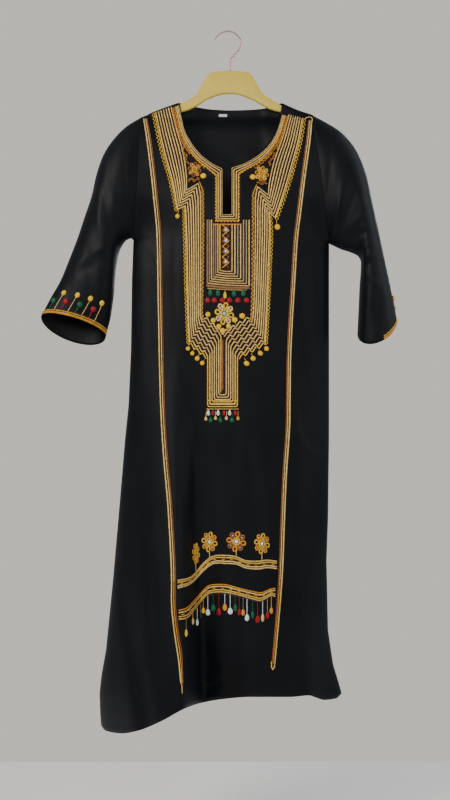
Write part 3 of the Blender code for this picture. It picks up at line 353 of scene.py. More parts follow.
def cloth_material(name, lift=1.0):
    mat, nodes, links, shader = material(name, (0.004, 0.0045, 0.006), 0.62, 0.0, Sheen_Weight=0.03,
                                         Sheen_Roughness=0.5, Sheen_Tint=(0.55, 0.7, 0.9, 1),
                                         Specular_IOR_Level=0.13)
    coord = nodes.new("ShaderNodeTexCoord").outputs["Object"]
    broad = noise(nodes, links, coord, 7.0, 3.0)
    r = ramp(nodes, [(0.30, tuple(c * lift for c in (0.0012, 0.0014, 0.0021))),
                     (0.72, tuple(c * lift for c in (0.0034, 0.0040, 0.0056)))])
    links.new(broad.outputs["Fac"], r.inputs["Fac"])
    links.new(r.outputs["Color"], shader.inputs["Base Color"])
    ro = nodes.new("ShaderNodeMapRange")
    ro.inputs["To Min"].default_value, ro.inputs["To Max"].default_value = 0.40, 0.56
    links.new(broad.outputs["Fac"], ro.inputs["Value"])
    links.new(ro.outputs["Result"], shader.inputs["Roughness"])
    slub = nodes.new("ShaderNodeMapping")
    slub.inputs["Scale"].default_value = (260, 260, 60)
    links.new(coord, slub.inputs["Vector"])
    fine = noise(nodes, links, slub.outputs["Vector"], 1.0, 2.0)
    b1 = bump(nodes, links, shader, fine.outputs["Fac"], 0.35, 0.0006)
    weave = noise(nodes, links, coord, 1500.0, 1.0)
    bump(nodes, links, shader, weave.outputs["Fac"], 0.25, 0.0004, b1)
    return mat


def thread_material(name, colour, rough=0.5, metallic=0.0, turns=420.0, painted_light_spread=0.55, sheen=0.06):
    """Twisted thread with painted light: painted shade in the dark bands of the twist and painted glints in light
    patches along the length, with fine bump from the twist bands.
    """
    mat, nodes, links, shader = material(name, colour, rough, metallic, Sheen_Weight=sheen, Sheen_Roughness=0.4,
                                         Specular_IOR_Level=0.22)
    uv = nodes.new("ShaderNodeTexCoord").outputs["UV"]
    wave = nodes.new("ShaderNodeTexWave")
    wave.wave_type = "BANDS"
    wave.bands_direction = "DIAGONAL"
    wave.inputs["Scale"].default_value = turns
    wave.inputs["Distortion"].default_value = 1.2
    wave.inputs["Detail"].default_value = 1.0
    links.new(uv, wave.inputs["Vector"])
    # object-space noise patches, mixed into the twist bands, paint glints on the thread
    obj = nodes.new("ShaderNodeTexCoord").outputs["Object"]
    glint_patch = noise(nodes, links, obj, 170.0, 2.0)
    mix = nodes.new("ShaderNodeMix")
    mix.data_type = "FLOAT"
    mix.inputs["Factor"].default_value = 0.55
    links.new(wave.outputs["Fac"], mix.inputs["A"])
    links.new(glint_patch.outputs["Fac"], mix.inputs["B"])
    # painted shade (a darker copy of the colour) and painted glints (a lighter copy), laid out by the twist bands and
    # glint patches
    painted_shade = tuple(c * (1 - painted_light_spread) for c in colour)
    light = tuple(min(1.0, c * (1 + painted_light_spread * 0.8)) for c in colour)
    r = ramp(nodes, [(0.30, painted_shade), (0.48, colour), (0.68, light)])
    links.new(mix.outputs["Result"], r.inputs["Fac"])
    links.new(r.outputs["Color"], shader.inputs["Base Color"])
    bump(nodes, links, shader, wave.outputs["Fac"], 0.5, 0.0003)
    return mat


PALE = (0.76, 0.50, 0.16)
MAT = {
    "cloth": cloth_material("black_cloth"),
    "hem": cloth_material("black_hem", 1.3),
    "pale": thread_material("pale_gold_cord", PALE, 0.40, 0.4),
    "sand": thread_material("sand_cord", (0.64, 0.42, 0.13), 0.44, 0.35),
    "gold": thread_material("gold_cord", (0.76, 0.44, 0.04), 0.38, 0.4),
    "orange": thread_material("orange_gold_cord", (0.66, 0.26, 0.014), 0.38, 0.4),
    "copper": thread_material("copper_cord", (0.26, 0.095, 0.032), 0.48, 0.25),
    "taupe": thread_material("taupe_cord", (0.27, 0.19, 0.11), 0.6, 0.1),
    "mint": thread_material("mint_cord", (0.26, 0.31, 0.14), 0.5, 0.15),
    "rose": thread_material("rose_cord", (0.46, 0.26, 0.18), 0.5, 0.15),
    "ground": thread_material("maroon_ground", (0.026, 0.008, 0.005), 0.8, 0.0, 200.0, 0.5, 0.1),
    "brown": thread_material("brown_ground", (0.060, 0.030, 0.012), 0.75, 0.0, 200.0, 0.5, 0.1),
    "yellow": thread_material("yellow_thread", (0.82, 0.46, 0.004), 0.42, 0.0, 300.0, 0.25),
    "red": thread_material("red_thread", (0.30, 0.003, 0.008), 0.42, 0.0, 300.0, 0.35),
    "green": thread_material("green_thread", (0.002, 0.095, 0.035), 0.42, 0.0, 300.0, 0.35),
    "white": thread_material("white_thread", (0.74, 0.76, 0.76), 0.5, 0.0, 300.0, 0.12),
    "cream": thread_material("cream_thread", (0.70, 0.45, 0.17), 0.5, 0.0, 300.0, 0.2),
    "amber": thread_material("amber_thread", (0.60, 0.25, 0.025), 0.45, 0.0, 300.0, 0.25),
}


def plain_material(name, colour, rough, metallic=0.0, scale=60.0, depth=0.0002, vary=0.12, **more):
    mat, nodes, links, shader = material(name, colour, rough, metallic, **more)
    coord = nodes.new("ShaderNodeTexCoord").outputs["Object"]
    n = noise(nodes, links, coord, scale, 4.0)
    r = ramp(nodes, [(0.3, tuple(c * (1 - vary) for c in colour)), (0.7, tuple(min(1, c * (1 + vary)) for c in colour))])
    links.new(n.outputs["Fac"], r.inputs["Fac"])
    links.new(r.outputs["Color"], shader.inputs["Base Color"])
    bump(nodes, links, shader, n.outputs["Fac"], 0.3, depth)
    return mat


MAT["pearl"] = plain_material("pearl_bead", (0.80, 0.78, 0.72), 0.18, 0.0, 300, 0.0001, 0.06, Coat_Weight=0.6, Coat_Roughness=0.1)
MAT["turquoise"] = plain_material("turquoise_stone", (0.22, 0.50, 0.46), 0.2, 0.0, 200, 0.0001, 0.15, Coat_Weight=0.5, Coat_Roughness=0.1)
MAT["stone"] = plain_material("clear_stone", (0.62, 0.60, 0.62), 0.08, 0.5, 600, 0.0001, 0.15)
MAT["label"] = plain_material("label_tape", (0.62, 0.64, 0.66), 0.7, 0.0, 500, 0.0002, 0.06)
MAT["board"] = plain_material("yellow_board", (0.60, 0.43, 0.035), 0.42, 0.0, 35, 0.0002, 0.05, Coat_Weight=0.15, Coat_Roughness=0.3)
MAT["wire"] = plain_material("pink_wire", (0.46, 0.20, 0.21), 0.28, 0.3, 120, 0.0001, 0.1, Coat_Weight=0.4, Coat_Roughness=0.15)

SLOT = {"front": "black_cloth", "back": "black_cloth", "sleeve_left": "black_cloth", "sleeve_right": "black_cloth"}


def finish_piece(obj, nodes=()):
    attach(obj, "root")
    if nodes:
        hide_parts(*nodes)
    return obj


class Batch:
    """Collects faces of many small forms into one piece with several materials."""

    def __init__(self, name):
        self.name, self.verts, self.faces, self.mats, self.uvs, self.slots = name, [], [], [], [], []

    def slot(self, key):
        if key not in self.slots:
            self.slots.append(key)
        return self.slots.index(key)

    def add(self, verts, faces, uvs, key):
        n = len(self.verts)
        self.verts += [tuple(map(float, v)) for v in verts]
        m = self.slot(key)
        for f in faces:
            self.faces.append(tuple(i + n for i in f))
            self.mats.append(m)
            self.uvs += [tuple(uvs[i]) for i in f]

    def build(self, nodes=()):
        mesh = bpy.data.meshes.new(self.name)
        mesh.from_pydata(self.verts, [], self.faces)
        layer = mesh.uv_layers.new(name="length")
        layer.data.foreach_set("uv", np.array(self.uvs, dtype=np.float32).ravel())
        for key in self.slots:
            mesh.materials.append(MAT[key])
        mesh.polygons.foreach_set("material_index", self.mats)
        mesh.polygons.foreach_set("use_smooth", [True] * len(self.faces))
        mesh.update()
        obj = bpy.data.objects.new(self.name, mesh)
        bpy.context.scene.collection.objects.link(obj)
        return finish_piece(obj, nodes)

    def strand(self, pts, nors, width, height, key, closed=False, sides=6, sink=0.0002):
        """Cord of half-oval section lying on a surface."""
        pts, nors = np.array(pts), np.array(nors)
        n = len(pts)
        nxt = np.roll(pts, -1, axis=0)
        prv = np.roll(pts, 1, axis=0)
        if not closed:
            nxt[-1], prv[0] = pts[-1], pts[0]
        tang = unit_rows(nxt - prv)
        side = unit_rows(np.cross(nors, tang))
        cum = np.concatenate([[0], np.cumsum(np.linalg.norm(np.diff(pts, axis=0), axis=1))])
        verts, uvs = [], []
        for i in range(n):
            for k in range(sides):
                a = math.pi * k / (sides - 1)
                verts.append(pts[i] + side[i] * math.cos(a) * width / 2 + nors[i] * (math.sin(a) * height - sink))
                uvs.append((cum[i], k / (sides - 1) * width * 1.6))
        faces = []
        for i in range(n if closed else n - 1):
            j = (i + 1) % n
            for k in range(sides):
                m = (k + 1) % sides
                faces.append((i * sides + k, j * sides + k, j * sides + m, i * sides + m))
        if not closed:
            faces.append(tuple(range(sides)))
            faces.append(tuple((n - 1) * sides + k for k in range(sides))[::-1])
        self.add(verts, faces, uvs, key)

    def blob(self, centre, across, along, up, rx, ry, rz, key, taper=0.0, seg=12, rings=8, flat=0.3):
        """Oval bead; taper narrows its upper end."""
        verts, uvs, faces = [], [], []
        for j in range(rings + 1):
            v = math.pi * j / rings
            for i in range(seg):
                u = 2 * math.pi * i / seg
                r = math.sin(v) * (1 - taper * (0.5 + 0.5 * math.cos(v)))
                ribs = 1 + 0.03 * math.cos(u * 6)
                z = r * math.sin(u) * ribs
                z = z if z > 0 else z * flat
                verts.append(centre + across * rx * r * math.cos(u) * ribs - along * ry * math.cos(v) + up * rz * z)
                uvs.append((0.01 * j / rings, 0.02 * i / seg))
        for j in range(rings):
            for i in range(seg):
                k = (i + 1) % seg
                faces.append((j * seg + i, (j + 1) * seg + i, (j + 1) * seg + k, j * seg + k))
        self.add(verts, faces, uvs, key)


def resample(path, gap, closed=False):
    p = np.array(path, float)
    if closed:
        p = np.vstack([p, p[:1]])
    seg = np.linalg.norm(np.diff(p, axis=0), axis=1)
    out = []
    for a, b, s in zip(p, p[1:], seg):
        n = max(1, int(math.ceil(s / gap)))
        out += [a + (b - a) * k / n for k in range(n)]
    if not closed:
        out.append(p[-1])
    return np.array(out)


def lay(surface, path, lift, gap=1.3, closed=False):
    """Points of an elevation path on the cloth, moved out by lift."""
    pts, nors = [], []
    for x, y in resample(path, gap, closed):
        p, n = surface.hit(x, y)
        pts.append(p + n * lift)
        nors.append(n)
    return pts, nors


class Stitcher:
    """Draws cords and beads on one cloth in elevation units."""

    def __init__(self, batch, surface):
        self.batch, self.surface = batch, surface

    def cord(self, path, key, width=1.25, height=0.0011, lift=0.0009, gap=1.3, closed=False):
        pts, nors = lay(self.surface, path, lift, gap, closed)
        self.batch.strand(pts, nors, width * UNIT, height, key, closed)

    def band(self, pairs, key, cols=8, gap=2.4, lift=0.0003, high=0.0009):
        """Flat ground between two edge lines."""
        rows = []
        for (p, q), (p2, q2) in zip(pairs, pairs[1:]):
            far = max(math.dist(p, p2), math.dist(q, q2))
            n = max(1, round(far / gap))
            for k in range(n):
                u = k / n
                rows.append((np.array(p) * (1 - u) + np.array(p2) * u, np.array(q) * (1 - u) + np.array(q2) * u))
        rows.append((np.array(pairs[-1][0], float), np.array(pairs[-1][1], float)))
        grid = []
        for a, b in rows:
            for i in range(cols + 1):
                x, y = a + (b - a) * i / cols
                p, n = self.surface.hit(x, y)
                edge = 0.6 if i in (0, cols) else 1.0
                grid.append((p + n * lift, p + n * (lift + (high - lift) * edge), (x, y)))
        w = cols + 1
        verts = [g[1] for g in grid] + [g[0] for g in grid]
        uvs = [(g[2][0] * UNIT, g[2][1] * UNIT) for g in grid] * 2
        faces = []
        nrow = len(rows)
        n = len(grid)
        ccw = None
        for j in range(nrow - 1):
            for i in range(cols):
                a, b, c, d = j * w + i, j * w + i + 1, (j + 1) * w + i + 1, (j + 1) * w + i
                if ccw is None:
                    (ax, ay), (bx, by), (cx, cy) = grid[a][2], grid[b][2], grid[c][2]
                    ccw = (bx - ax) * (cy - ay) - (by - ay) * (cx - ax) < 0
                f = (a, b, c, d) if ccw else (d, c, b, a)
                faces.append(f)
                faces.append(tuple(v + n for v in f[::-1]))
        rim = [i for i in range(w)] + [j * w + cols for j in range(1, nrow)] + \
              [(nrow - 1) * w + i for i in range(cols - 1, -1, -1)] + [j * w for j in range(nrow - 2, 0, -1)]
        for a, b in zip(rim, rim[1:] + rim[:1]):
            faces.append((b, a, a + n, b + n) if ccw else (a, b, b + n, a + n))
        self.batch.add(verts, faces, uvs, key)

    def dot(self, x, y, rx, ry, key, high=0.0026, taper=0.0, lean=0.0, lift=0.0004, seg=12, rings=8):
        p, n = self.surface.hit(x, y)
        q, _ = self.surface.hit(x, y + 1.0)
        d = q - p
        d = d - n * (d @ n)
        d /= np.linalg.norm(d)
        s = np.cross(n, d)
        if lean:
            c, t = math.cos(lean), math.sin(lean)
            d, s = d * c + s * t, s * c - d * t
        self.batch.blob(p + n * lift, -s, d, n, rx * UNIT, ry * UNIT, high, key, taper, seg, rings)

    def stem(self, x0, y0, x1, y1, key, width=0.9, height=0.0009):
        self.cord([(x0, y0), (x1, y1)], key, width, height, 0.0004, 1.6)

    def flower(self, x, y, rx, ry, petal, ring, heart, gems=True, petals=8, turn=0.2):
        disc = [(x + rx * 0.92 * math.cos(2 * math.pi * j / 20), y + ry * 0.92 * math.sin(2 * math.pi * j / 20)) for j in range(21)]
        self.band([(p, (x, y)) for p in disc], "ground", 3, 30)
        for k in range(petals):
            a = 2 * math.pi * k / petals + turn
            loop = []
            for j in range(12):
                t = 2 * math.pi * j / 12
                rad = 0.70 + 0.27 * math.cos(t)
                lat = 0.23 * math.sin(t) * (0.8 + 0.25 * math.cos(t))
                loop.append((x + rx * (rad * math.cos(a) - lat * math.sin(a)), y + ry * (rad * math.sin(a) + lat * math.cos(a))))
            self.cord(loop, petal if k % 2 else ring, 0.085 * (rx + ry), 0.0013, 0.0008, 3.0, True)
            if gems:
                self.dot(x + rx * 0.70 * math.cos(a), y + ry * 0.70 * math.sin(a), rx * 0.085, ry * 0.085, "stone" if k % 2 else "ground", 0.0014, seg=8, rings=5)
        loop = [(x + rx * 0.34 * math.cos(2 * math.pi * j / 14), y + ry * 0.34 * math.sin(2 * math.pi * j / 14)) for j in range(14)]
        self.cord(loop, "gold", 0.085 * (rx + ry), 0.0018, 0.0008, 3.0, True)
        self.dot(x, y, rx * 0.20, ry * 0.20, heart, 0.0028, seg=12, rings=8)


def wall_mesh(name, outer, inner, quads, mat, nodes=(), uv=None):
    used = sorted({i for t in quads for i in t})
    index = {v: k for k, v in enumerate(used)}
    n = len(used)
    verts = [tuple(outer[i]) for i in used] + [tuple(inner[i]) for i in used]
    faces, edges = [], {}
    for q in quads:
        f = [index[i] for i in q]
        faces.append(tuple(f))
        faces.append(tuple(v + n for v in f[::-1]))
        for a, b in zip(f, f[1:] + f[:1]):
            edges[(a, b)] = True
    for a, b in list(edges):
        if (b, a) not in edges:
            faces.append((b, a, a + n, b + n))
    mesh = bpy.data.meshes.new(name)
    mesh.from_pydata(verts, [], faces)
    mesh.materials.append(mat)
    mesh.polygons.foreach_set("use_smooth", [True] * len(faces))
    mesh.update()
    obj = bpy.data.objects.new(name, mesh)
    bpy.context.scene.collection.objects.link(obj)
    return finish_piece(obj, nodes)


# fine folds, in elevation units: start, end, half width, height in mm (negative is a trough)
CREASES = [
    (299, 262, 306, 330, 4.0, 3.0), (306, 322, 313, 392, 4.0, 2.6), (318, 255, 321, 345, 4.5, -2.4),
    (311, 250, 314, 300, 3.0, 1.6), (325, 262, 326, 372, 3.5, 1.8),
    (294, 392, 298, 438, 3.2, 3.0), (297, 430, 310, 452, 3.0, 3.0), (308, 450, 319, 459, 2.6, 2.6),
    (299, 402, 307, 436, 3.4, -3.0), (304, 436, 318, 450, 3.0, -3.2), (312, 380, 320, 440, 4.0, 2.0),
    (303, 508, 313, 548, 3.2, 2.6), (312, 540, 321, 590, 3.2, 2.8), (320, 584, 323, 660, 4.0, 2.6),
    (309, 530, 318, 600, 3.6, -2.2), (313, 600, 322, 668, 4.0, -2.2), (299, 600, 309, 676, 4.2, 2.4),
    (188, 420, 190, 505, 4.5, 2.6), (197, 418, 202, 520, 5.0, -2.2), (245, 430, 259, 530, 6.0, 2.6),
    (232, 440, 240, 540, 5.5, -2.2), (262, 440, 268, 548, 5.0, -2.4), (214, 430, 218, 530, 6.0, 1.6),
    (200, 684, 214, 676, 3.0, 3.0), (212, 677, 226, 673, 2.8, 2.6), (203, 692, 222, 683, 3.0, -2.4),
    (216, 640, 220, 676, 3.2, 2.0), (206, 636, 209, 672, 3.4, -1.8),
    (259, 628, 252, 655, 3.0, 2.2), (252, 652, 244, 686, 3.0, 2.6), (264, 640, 260, 680, 4.0, -2.4),
    (266, 676, 270, 689, 2.6, 3.2), (270, 688, 282, 692, 2.6, 2.4), (273, 673, 284, 680, 3.0, 2.0),
    (296, 684, 306, 694, 3.2, -2.6), (286, 640, 296, 690, 4.4, 2.2), (326, 640, 334, 690, 3.6, -2.4),
    (120, 590, 132, 652, 4.5, -3.0), (131, 648, 144, 726, 5.0, -3.4), (150, 660, 156, 716, 6.0, 2.4),
    (112, 520, 116, 600, 3.4, 2.0), (134, 470, 140, 560, 4.5, 2.0), (126, 430, 130, 510, 4.0, -1.8),
    (152, 560, 160, 650, 4.0, -1.8), (166, 480, 168, 560, 4.2, 1.6), (108, 640, 112, 716, 3.2, 2.0),
    (122, 512, 108, 518, 2.4, 1.4), (163, 500, 186, 508, 2.6, 1.4),
    (140, 255, 143, 380, 4.5, 2.0), (150, 248, 151, 350, 4.0, -1.8), (136, 300, 137, 400, 3.2, 1.4),
    (176, 240, 175, 340, 4.0, -1.6), (178, 360, 182, 420, 4.0, 1.4), (142, 128, 150, 180, 4.0, 1.4),
    (139, 240, 160, 262, 3.0, 1.6), (322, 246, 300, 262, 3.0, 2.2), (324, 244, 306, 232, 3.0, -1.8),
    (302, 214, 312, 240, 3.0, 1.6), (306, 130, 304, 178, 4.0, -1.6),
]
BACK_CREASES = [
    (300, 250, 296, 380, 6.0, 2.6), (286, 260, 280, 420, 6.0, -2.4), (262, 240, 258, 400, 7.0, 2.2),
    (225, 210, 222, 400, 8.0, -2.4), (200, 240, 196, 400, 7.0, 2.2), (160, 250, 154, 400, 6.0, -2.2),
    (150, 420, 140, 560, 7.0, 3.0), (128, 480, 118, 640, 6.0, -3.0), (186, 440, 190, 640, 7.0, 3.0),
    (205, 520, 204, 690, 6.0, -3.0), (238, 460, 244, 680, 7.0, 3.0), (262, 500, 268, 690, 6.0, -3.0),
    (300, 440, 306, 600, 6.0, 3.0), (316, 560, 322, 680, 5.0, -2.6), (318, 246, 290, 262, 4.0, 2.4),
    (140, 246, 170, 262, 4.0, 2.0), (220, 150, 240, 170, 7.0, 1.6), (150, 660, 158, 712, 6.0, 2.6),
    (230, 672, 246, 684, 4.0, 2.4), (110, 650, 113, 716, 4.0, 2.4), (294, 640, 298, 688, 5.0, -2.4),
]
SLEEVE_CREASES = {
    "left": [(95, 176, 98, 214, 4.5, 3.2), (97, 210, 103, 244, 4.0, 2.6), (104, 190, 110, 240, 4.0, -2.2),
             (58, 271, 82, 260, 3.2, 2.4), (80, 261, 103, 247, 3.2, 3.0), (70, 278, 96, 262, 3.2, -2.2),
             (88, 250, 94, 300, 4.2, -2.0), (78, 262, 74, 300, 4.0, 1.8), (112, 150, 106, 200, 4.0, -1.8),
             (124, 238, 106, 228, 3.0, 2.4), (122, 230, 112, 196, 3.2, 2.0), (132, 232, 128, 160, 3.4, 1.6),
             (98, 268, 104, 318, 4.0, 1.8), (84, 226, 76, 262, 3.6, -1.8)],
    "right": [(330, 238, 344, 176, 3.2, 3.4), (332, 240, 356, 196, 3.2, -3.0), (334, 243, 364, 214, 3.2, 3.2),
              (336, 246, 368, 232, 3.0, -3.0), (338, 248, 366, 246, 2.8, 3.0), (324, 222, 330, 158, 3.2, -2.4),
              (318, 190, 322, 140, 3.2, 1.8), (361, 258, 380, 246, 3.0, 3.6), (361, 264, 384, 262, 3.0, -3.0),
              (362, 270, 378, 286, 3.2, 2.6), (352, 180, 364, 206, 3.6, 2.0), (368, 290, 366, 326, 3.4, 2.4),
              (378, 286, 380, 330, 3.6, -2.2), (386, 280, 389, 326, 3.0, 1.8), (345, 240, 358, 252, 2.6, 2.8)],
}


def crease_field(table, px, py):
    """Sum of soft ridges and troughs at a point, in metres towards the outside."""
    total = 0.0
    for k, (x0, y0, x1, y1, w, mm) in enumerate(table):
        dx, dy = x1 - x0, y1 - y0
        ll = dx * dx + dy * dy
        t = ((px - x0) * dx + (py - y0) * dy) / ll
        if t < -0.25 or t > 1.25:
            continue
        d = ((px - x0) * dy - (py - y0) * dx) / math.sqrt(ll)
        if abs(d) > 3.2 * w:
            continue
        d += 0.35 * w * math.sin(3.1 * t + k)
        end = step((t + 0.25) / 0.45) * step((1.25 - t) / 0.45)
        total += mm * 0.001 * math.exp(-(d / w) ** 2) * end * (0.8 + 0.3 * math.sin(5 * t + k))
    return total


def fine_cols(cols, n):
    out = []
    for a, b in zip(cols, cols[1:]):
        out += [a + (b - a) * k / n for k in range(n)]
    return out + [cols[-1]]


COL_L = [0, 0.006, 0.015, 0.032, 0.055, 0.085, 0.12, 0.16, 0.20, 0.245, 0.29, 0.335, 0.38, 0.42, 0.463, 0.48, 0.497,
         0.518, 0.54, 0.57, 0.60, 0.635, 0.67, 0.705, 0.74, 0.775, 0.81, 0.855, 0.90, 0.95, 1.0]
COL_R = [0, 0.055, 0.11, 0.165, 0.22, 0.275, 0.33, 0.385, 0.44, 0.485, 0.53, 0.576, 0.622, 0.66, 0.70, 0.74, 0.78, 0.82,
         0.86, 0.90, 0.94, 0.965, 0.985, 0.993, 1.0]


def body_panel(name, fn, top, hem, slit, front, table, mat, nodes):
    cols = [(-1, a) for a in fine_cols(COL_L, 2)]
    cols += [(0, k) for k in (1, 2)] if not slit else []
    cols += [(1, a) for a in fine_cols(COL_R, 2)]

    def col(a, py, side):
        return 223 + 8 * a / 3 if side == 0 else column(a, py, side)

    levels = []
    for side, a in cols:
        f = lambda py: col(a, py, side)
        t = settle(f, top, 130.0)
        b = settle(f, hem, 715.0)
        up = [t, t + 0.5, t + 1.2, t + 2.2, t + 3.2, t + 4.8, t + 6.5]
        mid = [up[-1] + (213.7 - up[-1]) * k / 30 for k in range(1, 31)]
        low = [213.7 + 26.3 * k / 8 for k in range(1, 9)]
        ends = [240 + (b - 240) * k / 130 for k in range(1, 131)]
        levels.append(up + mid + low + ends)
    rows, n = len(levels[0]), len(cols)
    pts = np.zeros((rows * n, 3))
    for i, (side, a) in enumerate(cols):
        t = levels[i][0]
        shoulder = t - line(col(a, t, side), CREST) < 0.8
        for j in range(rows):
            py = levels[i][j]
            px = col(a, py, side)
            if j < 5 and shoulder:
                turn = math.radians((0, 17, 34, 51, 68)[j])
                drop = 0.0078 * (1 - math.cos(turn))
                px = col(a, t + drop / UNIT, side)
                y = 0.00015 if j == 0 else max(arm_open(px, t + drop / UNIT), 0.0078 * math.sin(turn))
                y = -y if front else y
                pts[j * n + i] = (world(px, t, y)[0], y, world(px, t, 0.0)[2] - 0.0003 - drop)
                continue
            y = fn(px, py)
            calm = step((py - t) / 14) * math.sqrt(across(px, py)) * step((levels[i][-1] - py) / 5 + 0.75)
            off = crease_field(table, px, py) * calm
            pts[j * n + i] = world(px, py, y + (-off if front else off))
    cut = [i for i in range(n - 1) if cols[i][0] < 0 < cols[i + 1][0]][0] if slit else -1
    quads = []
    for j in range(rows - 1):
        for i in range(n - 1):
            if i == cut and j < 36:
                continue
            a, b, c, d = j * n + i, j * n + i + 1, (j + 1) * n + i + 1, (j + 1) * n + i
            quads.append((a, d, c, b) if front else (a, b, c, d))
    tris = [t for q in quads for t in ((q[0], q[1], q[2]), (q[0], q[2], q[3]))]
    nor = vertex_normals(pts, tris)
    inner = np.zeros_like(pts)
    sgn = 1.0 if front else -1.0
    thick = 0.0011
    for j in range(rows):
        for i in range(n):
            k = j * n + i
            m = nor[k].copy()
            if j == rows - 1:
                m[2] = 0
                m /= np.linalg.norm(m)
            if i in (0, n - 1):
                turn = min(thick, max(0.0, abs(pts[k][1]) - 0.00018))
                m = np.array(((-1 if i == 0 else 1) * math.sqrt(thick ** 2 - turn ** 2), -sgn * turn, 0)) / thick
            inner[k] = pts[k] - m * thick
            if front:
                inner[k][1] = min(inner[k][1], -0.0001)
            else:
                inner[k][1] = max(inner[k][1], 0.0001)
    obj = wall_mesh(name, pts, inner, quads, mat, nodes)
    return obj, Surface(pts, nor, tris), inner, tris


def sleeve_shell(name, rings, side, table, mat, nodes):
    count, sides = 84, 72
    rows = tube_rings(rings, count)
    pts = []
    for j, (ox, oy, ix, iy, h, mid, df, db) in enumerate(rows):
        for i in range(sides):
            ph = 2 * math.pi * i / sides
            c, s = math.cos(ph), math.sin(ph)
            px = (ox + ix) / 2 + (ox - ix) / 2 * c
            py = (oy + iy) / 2 + (oy - iy) / 2 * c + (df * s if s > 0 else db * -s)
            off = crease_field(table, px, py) * step(j / 9) * step((count - 1 - j) / 6 + 0.3) * abs(s) ** 0.7
            if s < 0:
                off = crease_field(table, px + 5, py - 8) * step(j / 9) * step((count - 1 - j) / 6 + 0.3) * abs(s) ** 0.7
            yy = mid - (h + off) * s
            pts.append(world(px + off * 120 * c, py, yy))
    pts = np.array(pts)
    pts[:sides, 0] += side * 0.0005
    quads = []
    for j in range(count - 1):
        for i in range(sides):
            a, b = j * sides + i, j * sides + (i + 1) % sides
            c, d = a + sides, b + sides
            quads.append((a, c, d, b) if side < 0 else (b, d, c, a))
    tris = [t for q in quads for t in ((q[0], q[1], q[2]), (q[0], q[2], q[3]))]
    nor = vertex_normals(pts, tris)
    inner = pts - nor * 0.0011
    obj = wall_mesh(name, pts, inner, quads, mat, nodes)
    return obj, Surface(pts, nor, tris), pts.reshape(count, sides, 3), nor.reshape(count, sides, 3)


def smooth_edge(rows, lo, hi):
    """Edge table with the part between lo and hi rounded."""
    fine = [(x, tab(x, rows)) for x in np.arange(lo, hi, 0.5)]
    return [r for r in rows if r[0] < lo] + fine + [r for r in rows if r[0] >= hi]


front_obj, front, _, _ = body_panel("dress_front", front_y, smooth_edge(TOP_FRONT, 179.5, 280.5), smooth_edge(HEM_FRONT, 99, 343), True, True, CREASES, MAT["cloth"], ["front", "front_top_left", "front_top_right", "front_skirt"])
back_obj, back, back_in, back_tris = body_panel("dress_back", back_y, smooth_edge(TOP_BACK, 178, 282), smooth_edge(HEM_BACK, 99, 343), False, False, BACK_CREASES, MAT["cloth"], ["back", "back_top", "back_skirt"])
flipped = [t[::-1] for t in back_tris]
back_inner = Surface(back_in, vertex_normals(back_in, flipped), flipped)
arm_l_obj, arm_l, ring_l, nor_l = sleeve_shell("dress_sleeve_left", LEFT_RINGS, -1, SLEEVE_CREASES["left"], MAT["cloth"], ["sleeve_left"])
arm_r_obj, arm_r, ring_r, nor_r = sleeve_shell("dress_sleeve_right", RIGHT_RINGS, 1, SLEEVE_CREASES["right"], MAT["cloth"], ["sleeve_right"])


# seam threads along the joins of the cloth
for side, ring in (("left", ring_l), ("right", ring_r)):
    b = Batch("armhole_seam_" + side)
    loop = np.array(ring[0])
    out = unit_rows(np.array(ring[0]) - np.array(ring[0]).mean(axis=0))
    b.strand(loop, out, 0.0024, 0.0010, "cloth", True, 6, 0.0009)
    b.build()
ROWS = 175
edge = front.pts.reshape(ROWS, -1, 3)
for side, k, sign in (("left", 0, -1), ("right", -1, 1)):
    b = Batch("side_seam_" + side)
    path = edge[44:, k].copy()
    path[:, 1] = 0.0
    b.strand(path, np.array([(sign, 0.0, 0.0)] * len(path)), 0.0018, 0.0005, "cloth", False, 6, 0.0003)
    top = [p for p in edge[0] if abs(p[1]) < 0.0004 and p[0] * sign > 0]
    top = np.array(top)
    top[:, 1] = 0.0
    b.strand(top, np.array([(0.0, 0.0, 1.0)] * len(top)), 0.0016, 0.0004, "cloth", False, 6, 0.0003)
    b.build()


def blend_pairs(pairs, f):
    """Line at share f between the two edge lines; f may be one share per row."""
    out = []
    for k, (p, q) in enumerate(pairs):
        s = f[k] if isinstance(f, (list, tuple)) else f
        out.append((p[0] + (q[0] - p[0]) * s, p[1] + (q[1] - p[1]) * s))
    return out


def scallop(path, size, out, side):
    """Small arcs along a path, standing out on one side of it."""
    p = resample(path, 0.35)
    cum = np.concatenate([[0], np.cumsum(np.linalg.norm(np.diff(p, axis=0), axis=1))])
    n = max(1, round(cum[-1] / size))
    t = np.gradient(p, axis=0)
    t /= np.linalg.norm(t, axis=1, keepdims=True)
    nor = np.stack([-t[:, 1], t[:, 0]], axis=1) * side
    return p + nor * (out * np.abs(np.sin(math.pi * cum / cum[-1] * n)))[:, None]


def ripple(path, size, out, phase=0.0):
    p = resample(path, 0.45)
    cum = np.concatenate([[0], np.cumsum(np.linalg.norm(np.diff(p, axis=0), axis=1))])
    n = max(1, round(cum[-1] / size))
    t = np.gradient(p, axis=0)
    t /= np.linalg.norm(t, axis=1, keepdims=True)
    nor = np.stack([-t[:, 1], t[:, 0]], axis=1)
    return p + nor * (out * np.cos(2 * math.pi * (cum / cum[-1] * n) + phase))[:, None]


LINES = 7

def smooth_pairs(pairs, per=4):
    """Edge pairs joined by smooth curves."""
    n = len(pairs)
    flat = [(p[0], p[1], q[0], q[1]) for p, q in pairs]
    out = []
    for u in np.linspace(0, n - 1, (n - 1) * per + 1):
        v = [tab(u, list(zip(range(n), [f[c] for f in flat]))) for c in range(4)]
        out.append(((v[0], v[1]), (v[2], v[3])))
    return out


